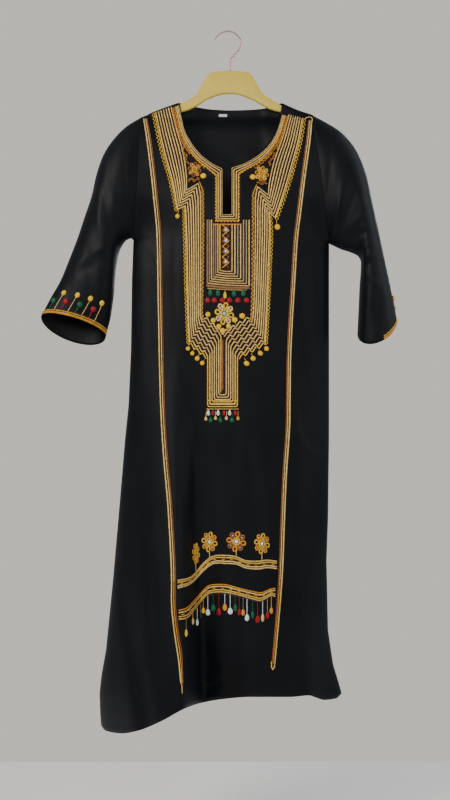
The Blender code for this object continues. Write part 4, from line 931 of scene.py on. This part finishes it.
# neck braid, rows: inner x, y and outer x, y
NECK_LEFT = smooth_pairs([((178.9, 105.6), (173.4, 107.2)), ((181.2, 116.4), (174.9, 118.4)), ((184.3, 129.6), (178.2, 131.8)),
                          ((190.6, 142), (184.6, 146.8)), ((201.0, 154.8), (195.5, 161.0)), ((212.6, 163.6), (206.6, 170.3)),
                          ((222.5, 168.6), (213.8, 177))])
NECK_SLIT = [((222.5, 181), (214, 184)), ((222.5, 197), (214, 199)), ((222.5, 214.3), (214, 223.3)),
             ((231.5, 214.3), (241, 223.3)), ((231.5, 197), (241, 199)), ((231.5, 181), (241, 184))]
NECK_RIGHT = smooth_pairs([((231.5, 167.6), (241.2, 175.8)), ((240.4, 165.0), (246.7, 171.6)), ((253.2, 158.7), (259, 164.9)),
                           ((266.0, 148.4), (271.8, 153.0)), ((275.3, 135.4), (280.8, 138.0)), ((280.0, 122.8), (285.4, 124.2)),
                           ((281.8, 115.2), (287.2, 116.0))])
NECK = NECK_LEFT + NECK_SLIT + NECK_RIGHT
b = Batch("neck_cords")
s = Stitcher(b, front)
s.band(NECK, "ground", 5)
for f, key, w in ((0.06, "sand", 0.7), (0.25, "pale", 1.15), (0.50, "pale", 1.15)):
    s.cord(blend_pairs(NECK, f), key, w)
s.cord(blend_pairs(NECK, 0.70), "orange", 0.9)
s.cord(scallop(blend_pairs(NECK[14:42], 0.84), 3.3, 1.3, -1), "gold", 0.95, gap=0.55)
for part in (NECK[:15], NECK[41:]):
    s.cord(ripple(blend_pairs(part, 0.87), 4.4, 0.95), "orange", 0.6, gap=0.55)
    s.cord(ripple(blend_pairs(part, 0.87), 4.4, 0.95, math.pi), "copper", 0.55, gap=0.55)
    s.cord(blend_pairs(part, 1.0), "orange", 0.55)
s.cord([(213.4, 224.4), (241.6, 224.4)], "orange", 1.5)
b.build(["neck_braid"])

# filigree in the wedge between neck braid and strap, rows: left x, y and right x, y
b = Batch("neck_filigree")
s = Stitcher(b, front)
for rows in ([((171.9, 108.4), (173.2, 108.0)), ((174.6, 119.0), (175.2, 118.8)), ((177.3, 131.0), (178.2, 131.0)),
              ((179.6, 137.4), (180.8, 137.6))],
             [((287.4, 117.0), (288.3, 117.0)), ((284.6, 127.6), (286.0, 127.8)), ((281.0, 138.6), (281.9, 138.8)),
              ((275.6, 149.0), (277.2, 150.2))]):
    s.band(smooth_pairs(rows), "ground", 2)
    s.cord(ripple(blend_pairs(smooth_pairs(rows), 0.5), 3.4, 0.6), "orange", 0.6, gap=0.6)
# crossed stitches round the neck rosettes, rows: x, y
for rows in ([(181.6, 140.6), (184.4, 146.0), (182.6, 151.2), (186.6, 155.6), (185.6, 160.8), (189.2, 163.6)],
             [(184.4, 143.0), (189.4, 150.4), (195.4, 157.4), (200.6, 163.6), (204.6, 168.4)],
             [(188.4, 181.6), (191.2, 178.6), (194.6, 181.2), (197.6, 178.4), (199.4, 180.2)],
             [(274.6, 152.4), (273.2, 157.6), (269.6, 161.6), (270.4, 166.0)],
             [(272.2, 152.6), (266.0, 159.4), (259.4, 165.0), (254.6, 168.6)],
             [(266.8, 184.6), (264.2, 181.8), (261.4, 184.4), (258.4, 182.2), (257.0, 183.6)]):
    s.cord(ripple(curve_points(rows, 40), 4.2, 0.8), "orange", 0.6, gap=0.6)
    s.cord(ripple(curve_points(rows, 40), 4.2, 0.8, math.pi), "copper", 0.5, gap=0.6)
b.build()

# bib bands, rows: outer x, y and inner x, y
BIB_L = smooth_pairs([((153.6, 113.4), (171.6, 106.8)), ((157.8, 134), (177.0, 129)), ((164.0, 160), (184.2, 155)),
                      ((170.8, 182), (187.0, 178)), ((176.8, 211.5), (187.0, 189.7))], 3) + \
    [((184.2, 208.0), (199.4, 181.8)), ((184.2, 222), (204.6, 187.4)), ((184.8, 240), (205.3, 226)), ((186, 291), (204.6, 280)),
     ((187.4, 329), (203.4, 312)), ((188.4, 344.6), (203.8, 319.6)), ((206.2, 359.0), (222.0, 335.4))]
BIB_R = smooth_pairs([((304.2, 119.0), (288.6, 114.6)), ((300.8, 140), (281.8, 138.6)), ((293.6, 168), (273.4, 162)),
                      ((286.6, 191), (268.8, 184)), ((275.8, 220.4), (267.8, 194.2))], 3) + \
    [((270.0, 214.0), (256.6, 184.8)), ((271.4, 228), (251.4, 190.4)), ((271.5, 240), (251.0, 226)), ((269.6, 280), (250.6, 280)),
     ((267.8, 316), (250.2, 312)), ((266.2, 344.8), (250.4, 319.8)), ((239.0, 359.2), (223.2, 335.6))]
STRAP = 13
FIRST = [0.13] * 10 + [0.12, 0.11, 0.10] + [0.08, 0.10, 0.11, 0.11, 0.10, 0.10, 0.10]
LAST = [0.97] * 10 + [0.97, 0.96, 0.96] + [0.93, 0.80, 0.78, 0.78, 0.80, 0.90, 0.94]


def zigzag(a, c, teeth, rise=3.6):
    out = []
    for k in range(2 * teeth + 1):
        t = k / (2 * teeth)
        out.append((a[0] + (c[0] - a[0]) * t, a[1] + (c[1] - a[1]) * t - (rise if k % 2 else 0)))
    return out


for side, pairs, sign, teeth in (("left", BIB_L, 1, 3), ("right", BIB_R, -1, 4)):
    b = Batch("bib_cords_" + side)
    s = Stitcher(b, front)
    s.band(pairs, "ground", 8)
    knee = len(pairs) - 2
    for i in range(LINES):
        u = i / (LINES - 1)
        path = blend_pairs(pairs, [f0 + (f1 - f0) * u for f0, f1 in zip(FIRST, LAST)])
        key = ("pale", "sand", "pale", "pale", "sand", "pale", "sand")[i]
        s.cord(path[:knee + 1] + zigzag(path[knee], path[knee + 1], teeth)[1:], key, 1.25)
    for f, key in ((0.0, "gold"), (1.03, "pale")):
        p, q = pairs[knee]
        p2, q2 = pairs[knee + 1]
        a = (p[0] + (q[0] - p[0]) * f, p[1] + (q[1] - p[1]) * f)
        c = (p2[0] + (q2[0] - p2[0]) * f, p2[1] + (q2[1] - p2[1]) * f)
        s.cord(zigzag(a, c, teeth), key, 1.2)
    s.cord(blend_pairs(pairs[:STRAP], 0.05), "gold", 0.9)
    s.cord(scallop(blend_pairs(pairs[:STRAP], 0.015), 3.9, 2.0, sign), "gold", 0.7, gap=0.5)
    s.cord(blend_pairs(pairs[STRAP:knee + 1], 0.045), "gold", 0.9)
    s.cord(scallop(blend_pairs(pairs[STRAP:knee + 1], 0.015), 3.9, 1.7, sign), "gold", 0.7, gap=0.5)
    inner = [tuple(pairs[STRAP][1])] + blend_pairs(pairs[STRAP + 1:knee + 1], [0.91, 0.90, 0.89, 0.90, 0.97])
    for ph, key in ((0.0, "copper"), (math.pi, "gold")):
        s.cord(ripple(inner[1:], 4.2, 1.0, ph), key, 0.75, gap=0.6)
    s.cord([inner[0], inner[1]], "gold", 0.8)
    b.build(["bib_" + side])

# yoke block
b = Batch("yoke_cords")
s = Stitcher(b, front)
s.band([((206.4, 219.6), (213.4, 219.6)), ((206.4, 284.6), (213.4, 285.6))], "brown", 4)
s.band([((213.4, 224.3), (242.2, 224.3)), ((213.4, 285.6), (242.2, 286.8))], "ground", 10)
s.band([((242.2, 219.6), (250.0, 219.6)), ((242.2, 286.8), (250.0, 287.6))], "ground", 4)
left_keys = ("taupe", "taupe", "sand", "taupe", "taupe", "sand", "gold")
right_keys = ("pale", "mint", "rose", "pale", "mint", "pale", "sand")
for i in range(LINES):
    xl, xr = 207.4 + 2.1 * i, 249.2 - 2.85 * i
    yb = 283.0 - 2.25 * i
    tl = 219.8 if xl < 213.6 else 224.6
    tr = 219.8 if xr > 241.8 else 224.6
    yl, yr = yb + (xl - 206) * 0.07, yb + (xr - 206) * 0.07
    s.cord([(xl, tl), (xl, yl)], left_keys[i], 1.25)
    s.cord([(xr, tr), (xr, yr)], right_keys[i], 1.25)
    s.cord([(xl, yl), ((xl + xr) / 2, (yl + yr) / 2 + 0.7), (xr, yr)], "sand", 1.2)
for k, key in enumerate(("copper", "taupe", "copper")):
    s.cord([(206.4, 284.6 + k * 0.9), (228, 287.0 + k * 0.9), (249.8, 287.5 + k * 0.6)], key, 1.0)
cross = [(222.3 + 6.8 * (k % 2), 225.0 + 5.35 * k) for k in range(9)]
s.cord(cross, "gold", 0.8, gap=0.9)
s.cord([(451.4 - x, y) for x, y in cross], "copper", 0.8, gap=0.9)
for y in (229.8, 240.5, 251.2, 261.9):
    s.dot(225.7, y, 1.2, 1.5, "pearl", 0.0024)
    s.cord([(225.7 + 2.0 * math.cos(a), y + 2.8 * math.sin(a)) for a in np.linspace(0, 2 * math.pi, 9)[:-1]], "rose", 0.6, 0.0009, gap=2.0, closed=True)
b.build(["yoke_block"])

# tail of the bib
b = Batch("tail_cords")
s = Stitcher(b, front)
s.band([((206.0, 360.0), (222.6, 336.8)), ((206.0, 407.8), (222.6, 407.8))], "ground", 6)
s.band([((222.6, 336.8), (239.2, 360.0)), ((222.6, 407.8), (239.2, 407.8))], "ground", 6)
for i in range(LINES):
    u = i / (LINES - 1)
    f = FIRST[-1] + (LAST[-1] - FIRST[-1]) * u
    xa, ya = 206.2 + (222.0 - 206.2) * f, 359.0 + (335.4 - 359.0) * f
    xb, yb = 239.0 + (223.2 - 239.0) * f, 359.2 + (335.6 - 359.2) * f
    low = 406.6 - 2.35 * i
    key = ("gold", "pale", "sand", "pale", "sand", "pale", "gold")[i]
    s.cord([(xa, ya), (xa, low - 2.0), (xa + 0.9, low), (xb - 0.9, low), (xb, low - 2.0), (xb, yb)] if i < 6
           else [(xa, ya), (xa - 0.3, low)], key, 1.2)
s.cord([(222.6, 340), (222.6, 390)], "copper", 1.6)
for k in range(2):
    s.cord([(208 + k, 400.5 + 3.2 * k), (237.4 - k, 400.5 + 3.2 * k)], "gold", 1.0)
b.build(["bib_tail"])

# long stripes, middle line x, y; half width: level y, units
STRIPE_L = [(145.2, 118.8), (148.8, 140), (153.3, 176), (157.6, 217), (159.2, 240), (160.4, 310), (162.4, 400),
            (165.6, 457), (169.8, 505), (173.3, 568), (173.4, 600), (174.6, 618), (177.4, 640), (180.0, 658), (181.9, 688)]
STRIPE_R = [(310.3, 120.6), (308.4, 140), (303.5, 176), (298.4, 217), (295.6, 240), (293.2, 280), (290.7, 320),
            (288.9, 360), (288.4, 400), (287.8, 430), (284.9, 472), (282.7, 523), (280.8, 572), (277.4, 618), (272.9, 668)]
WIDE_L = [(118, 2.4), (140, 2.9), (650, 2.9), (688, 1.1)]
WIDE_R = [(118, 2.2), (140, 2.6), (560, 2.6), (668, 2.2)]
for side, pts, wide, sign in (("left", STRIPE_L, WIDE_L, 1), ("right", STRIPE_R, WIDE_R, -1)):
    path = [(x, y, line(y, wide)) for x, y in curve_points(pts, 120)]
    b = Batch("stripe_cords_" + side)
    s = Stitcher(b, front)
    s.band([((x - w, y), (x + w, y)) for x, y, w in path], "ground", 3, 5.0)
    full = len(path) - 1
    upper = [k for k, row in enumerate(path) if row[1] < 585][-1]
    # offset in half widths, colour above and below the skirt braids, cord width
    for f, key, low_key, width in ((-0.60, "pale", "pale", 1.4), (0.20, "sand", "orange", 1.1), (0.74, "copper", "copper", 0.8)):
        s.cord([(x + f * w * sign, y) for x, y, w in path[:upper + 1]], key, width, 0.0010, gap=2.2)
        s.cord([(x + f * w * sign, y) for x, y, w in path[upper:full]], low_key, width * 0.92, 0.0010, gap=2.2)
    if side == "left":
        s.cord([(181.2, 682.0), (181.9, 689.0), (182.0, 693.5)], "pale", 0.8, 0.0008)
    else:
        s.cord([(304.6, 119.8), (306.4, 117.8), (309.6, 117.2), (312.0, 118.4), (312.4, 121.4)], "sand", 1.1, 0.0010)
        x, y, w = path[-1]
        s.cord([(x - 1.7, y - 6.5), (x - 1.5, y - 1.0), (x - 0.2, y + 1.6), (x + 1.4, y - 1.0), (x + 1.9, y - 6.5)], "pale", 1.1, 0.0009)
    b.build(["stripe_" + side])

# skirt braids
UPPER = [(177.6, 579.8, 589.0), (191, 576, 583.8), (203, 563, 571.8), (213.6, 555.5, 564.3), (226, 554.6, 564.3),
         (236, 556, 564.8), (245.7, 560, 568.6), (258, 560.4, 569.8), (267, 559.4, 568.3), (276.8, 560.6, 569.4)]
LOWER = [(178.6, 609.6, 620.2), (187, 606.6, 618.4), (195.7, 597.5, 608), (206.4, 586.6, 596), (213.6, 584, 593),
         (226, 584, 593), (240.4, 588, 596), (253.8, 591, 600), (261, 592, 601), (270.7, 588.4, 596), (275.2, 587.4, 597.0)]
for name, data in (("upper", UPPER), ("lower", LOWER)):
    b = Batch("skirt_cords_" + name)
    s = Stitcher(b, front)
    tops = curve_points([(x, a) for x, a, c in data], 40)
    lows = curve_points([(x, c) for x, a, c in data], 40)
    pairs = list(zip([tuple(p) for p in tops], [tuple(p) for p in lows]))
    s.band(pairs, "ground", 5)
    keys = ("pale", "gold", "pale", "pale") if name == "upper" else ("orange", "pale", "gold", "sand")
    for f, key, w in zip((0.09, 0.31, 0.69, 0.91), keys, (1.3, 1.35, 1.35, 1.3)):
        s.cord(blend_pairs(pairs, f), key, w)
    for k in range(1, 38, 3):
        s.cord(blend_pairs(pairs[k:k + 2], 0.5), "gold", 0.7)
    b.build(["skirt_braid_" + name])

# rosettes
SPOTS = [("rosette_neck_left", 194.6, 169.6, 6.6, 7.4, "orange", "copper", "amber"),
         ("rosette_neck_right", 261.9, 173.8, 6.8, 7.6, "gold", "orange", "amber"),
         ("rosette_chest", 224.4, 313.6, 9.4, 11.2, "pale", "gold", "turquoise"),
         ("rosette_skirt_1", 195.7, 553.4, 3.6, 10.6, "orange", "gold", "amber"),
         ("rosette_skirt_2", 209.6, 542, 7.8, 10.2, "orange", "gold", "pearl"),
         ("rosette_skirt_3", 236.3, 541.6, 9.6, 10.2, "copper", "orange", "pearl"),
         ("rosette_skirt_4", 261.8, 543.6, 7.6, 10.4, "orange", "gold", "pearl")]
for name, x, y, rx, ry, petal, ring, heart in SPOTS:
    b = Batch("petals_" + name)
    s = Stitcher(b, front)
    s.flower(x, y, rx, ry, petal, ring, heart)
    if "skirt" in name:
        foot = float(np.interp(x, [u[0] for u in UPPER], [u[1] for u in UPPER]))
        s.stem(x, y + ry * 0.9, x, foot, "sand", 0.9)
    b.build([name])


def drops(name, nodes, strip, items, strip_key="sand", taper=0.45):
    """Beads on thread stems under a narrow strip. items: bead x, y, half width, half height, key, stem top, stem key."""
    b = Batch(name)
    s = Stitcher(b, front)
    for line_ in strip:
        s.cord(line_, strip_key, 0.8, 0.0008, 0.0004)
    for x, y, rx, ry, key, tx, ty, sk in items:
        lean = math.atan2(x - tx, y - ty)
        if sk:
            s.stem(tx, ty, x, y - ry * 0.6 * math.cos(lean), sk, 0.6)
        s.dot(x, y, rx, ry, key, 0.0030, taper, -lean if abs(lean) < 2 else 0.0)
    b.build(nodes)


drops("chest_drops", ["chest_drops_upper", "chest_drops_lower"], [[(207.6, 288.4), (228, 289.8), (246.6, 290.2)]],
      [(210.4, 292.4, 2.7, 3.6, "green", 210.4, 288.4, "taupe"), (218, 292.8, 2.7, 3.6, "green", 218, 289.0, "taupe"),
       (225, 295.0, 2.0, 3.6, "yellow", 225, 289.4, "amber"), (234, 293.2, 2.7, 3.6, "green", 234, 289.6, "taupe"),
       (243.3, 292.8, 2.9, 3.6, "green", 243.3, 289.8, "taupe")]
      + [(x, 300.0, 3.4, 2.7, "red", x, 298.0, None) for x in (207.6, 214.4, 222.4, 229.4, 238.0, 246.6)])
BALL = 2.5
drops("chest_dots", ["chest_dots_left", "chest_dots_right"],
      [],
      [(208, 314.4, BALL, BALL, "yellow", 206.4, 319.6, "gold"), (213.3, 320.4, BALL, BALL, "yellow", 211.4, 324.0, "gold"),
       (218.8, 326.4, BALL, BALL, "yellow", 217.0, 329.0, "gold"), (222.8, 330.6, BALL, BALL, "yellow", 222.6, 333.6, "gold"),
       (228.6, 326.2, BALL, BALL, "yellow", 229.6, 330.0, "gold"), (234.7, 319.8, 2.8, 2.7, "yellow", 236.4, 325.6, "gold"),
       (242.2, 315.9, 2.8, 2.7, "yellow", 245.6, 320.6, "gold")], "gold", 0.0)
drops("tail_dots", ["tail_dots_left", "tail_dots_right"],
      [],
      [(188, 348.6, 2.1, 2.1, "yellow", 189.2, 345.4, "gold"), (192.4, 353.4, 2.1, 2.1, "yellow", 193.9, 349.6, "gold"),
       (197.3, 358.4, 2.4, 2.3, "yellow", 199.2, 354.4, "gold"), (202.3, 363.1, 2.3, 2.2, "yellow", 204.4, 359.4, "gold"),
       (266.5, 348.7, 2.3, 2.3, "yellow", 264.8, 346.0, "gold"), (260.4, 353.3, 2.6, 2.3, "yellow", 258.6, 349.6, "gold"),
       (253.1, 358.4, 2.6, 2.4, "yellow", 251.4, 353.4, "gold"), (246.6, 363.5, 2.8, 2.4, "yellow", 244.4, 357.6, "gold")],
      "gold", 0.0)
drops("tail_drops_beads", ["tail_drops", "tail_drops_lower"], [[(206.4, 409.0), (238.8, 409.0)]],
      [(208.4, 412.8, 1.9, 2.7, "white", 208.4, 409.4, "white"), (213.1, 412.8, 2.0, 2.7, "red", 213.1, 409.4, "red"),
       (218.1, 412.8, 1.9, 2.7, "white", 218.1, 409.4, "white"), (224.1, 412.8, 2.0, 2.7, "red", 224.1, 409.4, "red"),
       (229.7, 412.8, 1.9, 2.7, "white", 229.7, 409.4, "white"), (235.3, 412.8, 2.1, 2.7, "red", 235.3, 409.4, "red"),
       (205.9, 418.6, 1.9, 2.1, "cream", 206.6, 411.0, "cream"), (210.7, 420.0, 2.5, 2.5, "green", 210.9, 413.0, "green"),
       (215.6, 418.0, 1.9, 2.0, "cream", 215.6, 411.0, "cream"), (220.4, 420.0, 2.5, 2.5, "green", 221.0, 413.0, "green"),
       (226.4, 418.0, 1.9, 2.0, "cream", 226.9, 411.0, "cream"), (232.0, 420.0, 2.6, 2.5, "green", 232.4, 413.0, "green"),
       (238.0, 418.2, 2.0, 2.1, "amber", 238.0, 411.0, "amber")])


def low_edge(x):
    return float(np.interp(x, [u[0] for u in LOWER], [u[2] for u in LOWER])) + 0.4


# skirt drops: bead x, y, half width, half height, colour, stem colour
SKIRT = [(185.9, 633, 2.6, 3.6, "yellow", "taupe"), (192.6, 621.2, 2.3, 3.2, "cream", "gold"), (197.0, 622.2, 2.3, 3.2, "white", "white"),
         (200.2, 615, 0.9, 3.0, "green", "taupe"), (203.2, 610.4, 2.2, 3.0, "yellow", "gold"), (207.9, 612.2, 2.8, 3.2, "white", "white"),
         (213.3, 608.0, 3.0, 3.6, "green", "green"), (219, 611.8, 2.9, 3.6, "red", "red"), (224.9, 607.2, 2.7, 3.3, "amber", "white"),
         (230.2, 611, 2.9, 3.2, "white", "white"), (235.2, 607.6, 2.1, 3.6, "green", "green"), (239.2, 612.0, 2.0, 3.2, "red", "red"),
         (243.0, 612.4, 2.1, 3.2, "amber", "taupe"), (246.9, 617.6, 2.7, 3.3, "white", "white"), (252.4, 614.5, 2.3, 3.8, "green", "green"),
         (257.4, 619.2, 3.2, 3.6, "red", "red"), (262.5, 617.6, 2.1, 4.0, "cream", "white"), (267.3, 615.4, 2.4, 3.4, "red", "rose"),
         (271.2, 610.6, 2.2, 3.2, "amber", "gold")]
drops("skirt_drop_beads", ["skirt_drops_%d" % k for k in (1, 2, 3, 4)],
      [[(x, low_edge(x) + 0.5) for x in np.linspace(184.4, 273.6, 40)]],
      [(x, y, rx, ry, key, x, low_edge(x), sk) for x, y, rx, ry, key, sk in SKIRT], "brown", 0.3)
drops("single_dots", ["strap_dot_left", "strap_dot_right", "neck_dot_left", "neck_dot_right"], [],
      [(177.5, 216.2, 2.2, 2.3, "yellow", 178.8, 209.6, "gold"), (277.4, 227.0, 2.8, 2.8, "yellow", 276.0, 220.0, "gold"),
       (203.3, 175.9, 2.9, 2.7, "yellow", 205.0, 180.4, None), (252.8, 177.0, 2.9, 2.7, "yellow", 250.8, 180.8, None)],
      "gold", 0.0)


# cuffs: cords and pins in sleeve coordinates
def cuff(side, surface, rings, start, span, pins):
    class Wrapped:
        def hit(self, a, h):
            ph = math.pi * (start + span * a / 100.0)
            c, sn = math.cos(ph), math.sin(ph)
            path = []
            for ox, oy, ix, iy, d, mid, df, db in rings[:-6:-1]:
                drop = df * sn if sn > 0 else -db * sn
                path.append(np.array(((ox + ix) / 2 + (ox - ix) / 2 * c, (oy + iy) / 2 + (oy - iy) / 2 * c + drop, mid - d * sn)))
            for p, q in zip(path, path[1:]):
                far = math.dist(p[:2], q[:2])
                if h <= far:
                    break
                h -= far
            loc, _, k, _ = surface.tree.find_nearest(Vector(world(*(p + (q - p) * h / far))))
            return np.array(loc), surface.smooth(loc, k)

    w = Wrapped()
    b = Batch("cuff_cords_" + side)
    s = Stitcher(b, w)
    s.band([((x, 0.7), (x, 4.8)) for x in np.linspace(0, 100, 60)], "ground", 3, 100)
    for h, key, width in ((1.1, "orange", 0.9), (2.2, "gold", 0.9), (3.3, "copper", 0.8), (4.3, "gold", 0.8)):
        s.cord([(x, h) for x in np.linspace(0, 100, 70)], key, width, 0.0010, gap=2.5)
    b.build(["cuff_%s_braid" % side])
    b = Batch("cuff_pin_beads_" + side)
    s = Stitcher(b, w)
    s.cord([(x, 5.6) for x in np.linspace(pins[0][0] - 3.5, pins[-1][0] + 3.5, 60)], "brown", 0.5, 0.0008, 0.0004, gap=2.5)
    for a, top, key in pins:
        s.cord([(a, 5.0), (a, top)], "cream" if key == "yellow" else key, 0.65 if key == "yellow" else 0.9, 0.0009, 0.0004, 1.5)
        p, n = w.hit(a, top)
        q, _ = w.hit(a, top + 1.0)
        d = q - p
        d -= n * (d @ n)
        d /= np.linalg.norm(d)
        b.blob(p + n * 0.0006, np.cross(n, d), -d, n, 0.0052 if key == "yellow" else 0.0060, 0.0060, 0.0040, key)
    b.build(["cuff_%s_pins" % side])


# pins: place round the cuff, height, colour
PINS_L = [(16, 15, "green"), (24.5, 24, "yellow"), (33, 15, "red"), (41, 24, "yellow"), (48.5, 15, "green"),
          (56, 24, "yellow"), (64, 15, "red"), (71.5, 24, "yellow")]
PINS_R = [(10, 15, "green"), (24, 24, "yellow"), (38, 15, "red"), (52, 24, "yellow")]
cuff("left", arm_l, LEFT_RINGS, 0.04, 0.92, PINS_L)
cuff("right", arm_r, RIGHT_RINGS, -0.42, 0.81, PINS_R)

# blank label
b = Batch("label_tape")
s = Stitcher(b, back_inner)
s.band([((218.8, 114.3), (218.8, 117.0)), ((227.2, 114.3), (227.2, 117.0))], "label", 3, 1.0, 0.0002, 0.0006)
b.build(["label"])

# hanger board and hook
BOARD = [((144.5, 117.2), (145.5, 121.6)), ((153, 113.2), (154.5, 119.6)), ((165, 108.6), (168, 116.2)),
         ((179, 104.9), (182.7, 112.2)), ((188.5, 99.9), (192, 108.9)), ((196.3, 94.6), (200, 104.3)),
         ((200, 88), (206.5, 100.2)), ((203.4, 81.5), (212, 97.8)), ((207.4, 75.8), (217, 96)),
         ((212.4, 72.4), (222, 94.8)), ((221, 71.4), (226.5, 94.2)), ((230, 71.3), (230.5, 94)),
         ((239, 71.4), (234.5, 94.2)), ((247.6, 72.4), (239.5, 95.2)), ((252.2, 75.8), (244.5, 96.9)),
         ((255.7, 81.5), (250, 99.2)), ((258.9, 88), (255, 101.4)), ((264, 94.6), (261.5, 105.2)),
         ((272, 99.6), (270, 109.6)), ((281.5, 105.6), (279.5, 112.4)), ((290, 108.9), (289, 115.6)),
         ((297, 110.9), (297, 118.2)), ((305, 113.6), (305, 120)), ((310.0, 115.5), (309.7, 120.4))]
ups = curve_points([p for p, q in BOARD], 110)
lows = curve_points([q for p, q in BOARD], 110)
half, cut = 0.0038, 0.0042
verts, faces = [], []
prof = [(math.sin(a), 1 - math.cos(a)) for a in np.linspace(0, math.pi / 2, 6)]
m = 0
for u, l in zip(ups, lows):
    a, c = world(*u, 0.0), world(*l, 0.0)
    h = np.linalg.norm(c - a)
    d = (c - a) / h
    sec = [(y * half, z * cut) for y, z in prof]
    loop = sec + [(y, h - z) for y, z in reversed(sec)]
    loop += [(-y, z) for y, z in reversed(loop) if y > 1e-6]
    m = len(loop)
    for y, z in loop:
        verts.append(tuple(a + d * z + np.array((0, y, 0))))
n = len(ups)
for k in range(n - 1):
    for i in range(m):
        a, c = k * m + i, k * m + (i + 1) % m
        faces.append((a, a + m, c + m, c))
faces.append(tuple(range(m)))
faces.append(tuple((n - 1) * m + i for i in range(m))[::-1])
mesh = bpy.data.meshes.new("hanger_board")
mesh.from_pydata(verts, [], faces)
mesh.materials.append(MAT["board"])
mesh.polygons.foreach_set("use_smooth", [len(f) == 4 for f in faces])
mesh.update()
board = bpy.data.objects.new("hanger_board", mesh)
bpy.context.scene.collection.objects.link(board)
finish_piece(board, ["hanger"])

HOOK = [(230.1, 71.0), (230.2, 64), (230.4, 60), (232.7, 56.7), (238.4, 50.4), (240.7, 44.1), (240.1, 38.9),
        (235, 33.2), (229.2, 31.2), (223.5, 31.9), (218.9, 34.6), (215, 39.6)]
pts = np.array([world(x, y, 0.0) for x, y in curve_points(HOOK, 90)])
pts[:, 2] += 0.0016 - pts[:, 2].max()
pts[0][2] = world(230.1, 71.0, 0.0)[2]
b = Batch("hook_wire")
seg = 14
verts, uvs, faces = [], [], []
for k, p in enumerate(pts):
    d = pts[min(k + 1, len(pts) - 1)] - pts[max(k - 1, 0)]
    d /= np.linalg.norm(d)
    y = np.array((0.0, 1.0, 0.0))
    o = np.cross(d, y)
    end = 0.6 if k in (0, len(pts) - 1) else 1.0
    for i in range(seg):
        a = 2 * math.pi * i / seg
        verts.append(p + 0.0016 * end * (math.cos(a) * y + math.sin(a) * o))
        uvs.append((k * 0.002, i * 0.001))
for k in range(len(pts) - 1):
    for i in range(seg):
        j = (i + 1) % seg
        faces.append((k * seg + i, k * seg + j, (k + 1) * seg + j, (k + 1) * seg + i))
faces.append(tuple(range(seg))[::-1])
faces.append(tuple((len(pts) - 1) * seg + i for i in range(seg)))
b.add(verts, faces, uvs, "wire")
b.build(["hook"])


def outer_area(obj):
    return sum(p.area for p in obj.data.polygons) / 2


SHEETS = [(front_obj, (0.66, 1.32)), (back_obj, (0.62, 1.33)), (arm_l_obj, (0.34, 0.52)), (arm_r_obj, (0.34, 0.52))]
for obj, flat in SHEETS:
    print("cloth", obj.name, round(outer_area(obj), 4), round(flat[0] * flat[1], 4))

# floor, light and camera
def stage_box(name, corners, colour):
    mesh = bpy.data.meshes.new(name)
    mesh.from_pydata(corners, [], [(0, 1, 2, 3)])
    mat, nodes, links, shader = material(name, colour, 0.85)
    mesh.materials.append(mat)
    obj = bpy.data.objects.new(name, mesh)
    bpy.context.scene.collection.objects.link(obj)


PALE_STAGE = (0.85, 0.82, 0.78)
stage_box("floor", [(-3, -3, -1.75), (3, -3, -1.75), (3, 0.6, -1.75), (-3, 0.6, -1.75)], PALE_STAGE)


def lamp(name, place, aim, size, power, colour):
    data = bpy.data.lights.new(name, "AREA")
    data.shape = "RECTANGLE"
    data.size, data.size_y = size
    data.energy = power
    data.color = colour
    obj = bpy.data.objects.new(name, data)
    bpy.context.scene.collection.objects.link(obj)
    obj.location = place
    obj.rotation_euler = (Vector(aim) - Vector(place)).to_track_quat("-Z", "Y").to_euler()


lamp("key", (-1.7, -1.9, 0.7), (0, 0, -0.6), (1.0, 1.4), 58, (1.0, 0.98, 0.95))
lamp("fill", (1.9, -1.5, -0.2), (0.1, 0, -0.8), (1.6, 1.8), 13, (0.95, 0.97, 1.0))
lamp("front", (0.0, -2.8, 0.3), (0, 0, -0.6), (1.2, 0.9), 15, (1.0, 0.98, 0.95))
lamp("side", (1.6, 0.1, 0.3), (0.2, 0, -0.7), (0.7, 1.8), 10, (0.9, 0.95, 1.0))

lamp("back", (0.9, 2.6, 0.5), (0, 0, -0.7), (1.4, 1.6), 46, (0.95, 0.97, 1.0))

world_ = bpy.data.worlds.new("studio")
bpy.context.scene.world = world_
world_.use_nodes = True
world_.node_tree.nodes["Background"].inputs["Color"].default_value = (0.93, 0.95, 1.0, 1)
back = world_.node_tree.nodes["Background"]
back.inputs["Strength"].default_value = 0.36
# the surroundings look pale and light the cloth softly
seen = world_.node_tree.nodes.new("ShaderNodeBackground")
seen.inputs["Color"].default_value = (0.80, 0.76, 0.70, 1)
seen.inputs["Strength"].default_value = 0.85
path_node = world_.node_tree.nodes.new("ShaderNodeLightPath")
mix_node = world_.node_tree.nodes.new("ShaderNodeMixShader")
out_node = [n for n in world_.node_tree.nodes if n.type == "OUTPUT_WORLD"][0]
world_.node_tree.links.new(path_node.outputs["Is Camera Ray"], mix_node.inputs[0])
world_.node_tree.links.new(back.outputs[0], mix_node.inputs[1])
world_.node_tree.links.new(seen.outputs[0], mix_node.inputs[2])
world_.node_tree.links.new(mix_node.outputs[0], out_node.inputs[0])

cam_data = bpy.data.cameras.new("camera")
cam = bpy.data.objects.new("camera", cam_data)
bpy.context.scene.collection.objects.link(cam)
cam.location = tuple(EYE)
cam.rotation_euler = (math.radians(90), 0, 0)
cam_data.sensor_fit = "VERTICAL"
cam_data.sensor_height = 36.0
cam_data.lens = 36.0 * FAR / (800 * UNIT)
bpy.context.scene.camera = cam
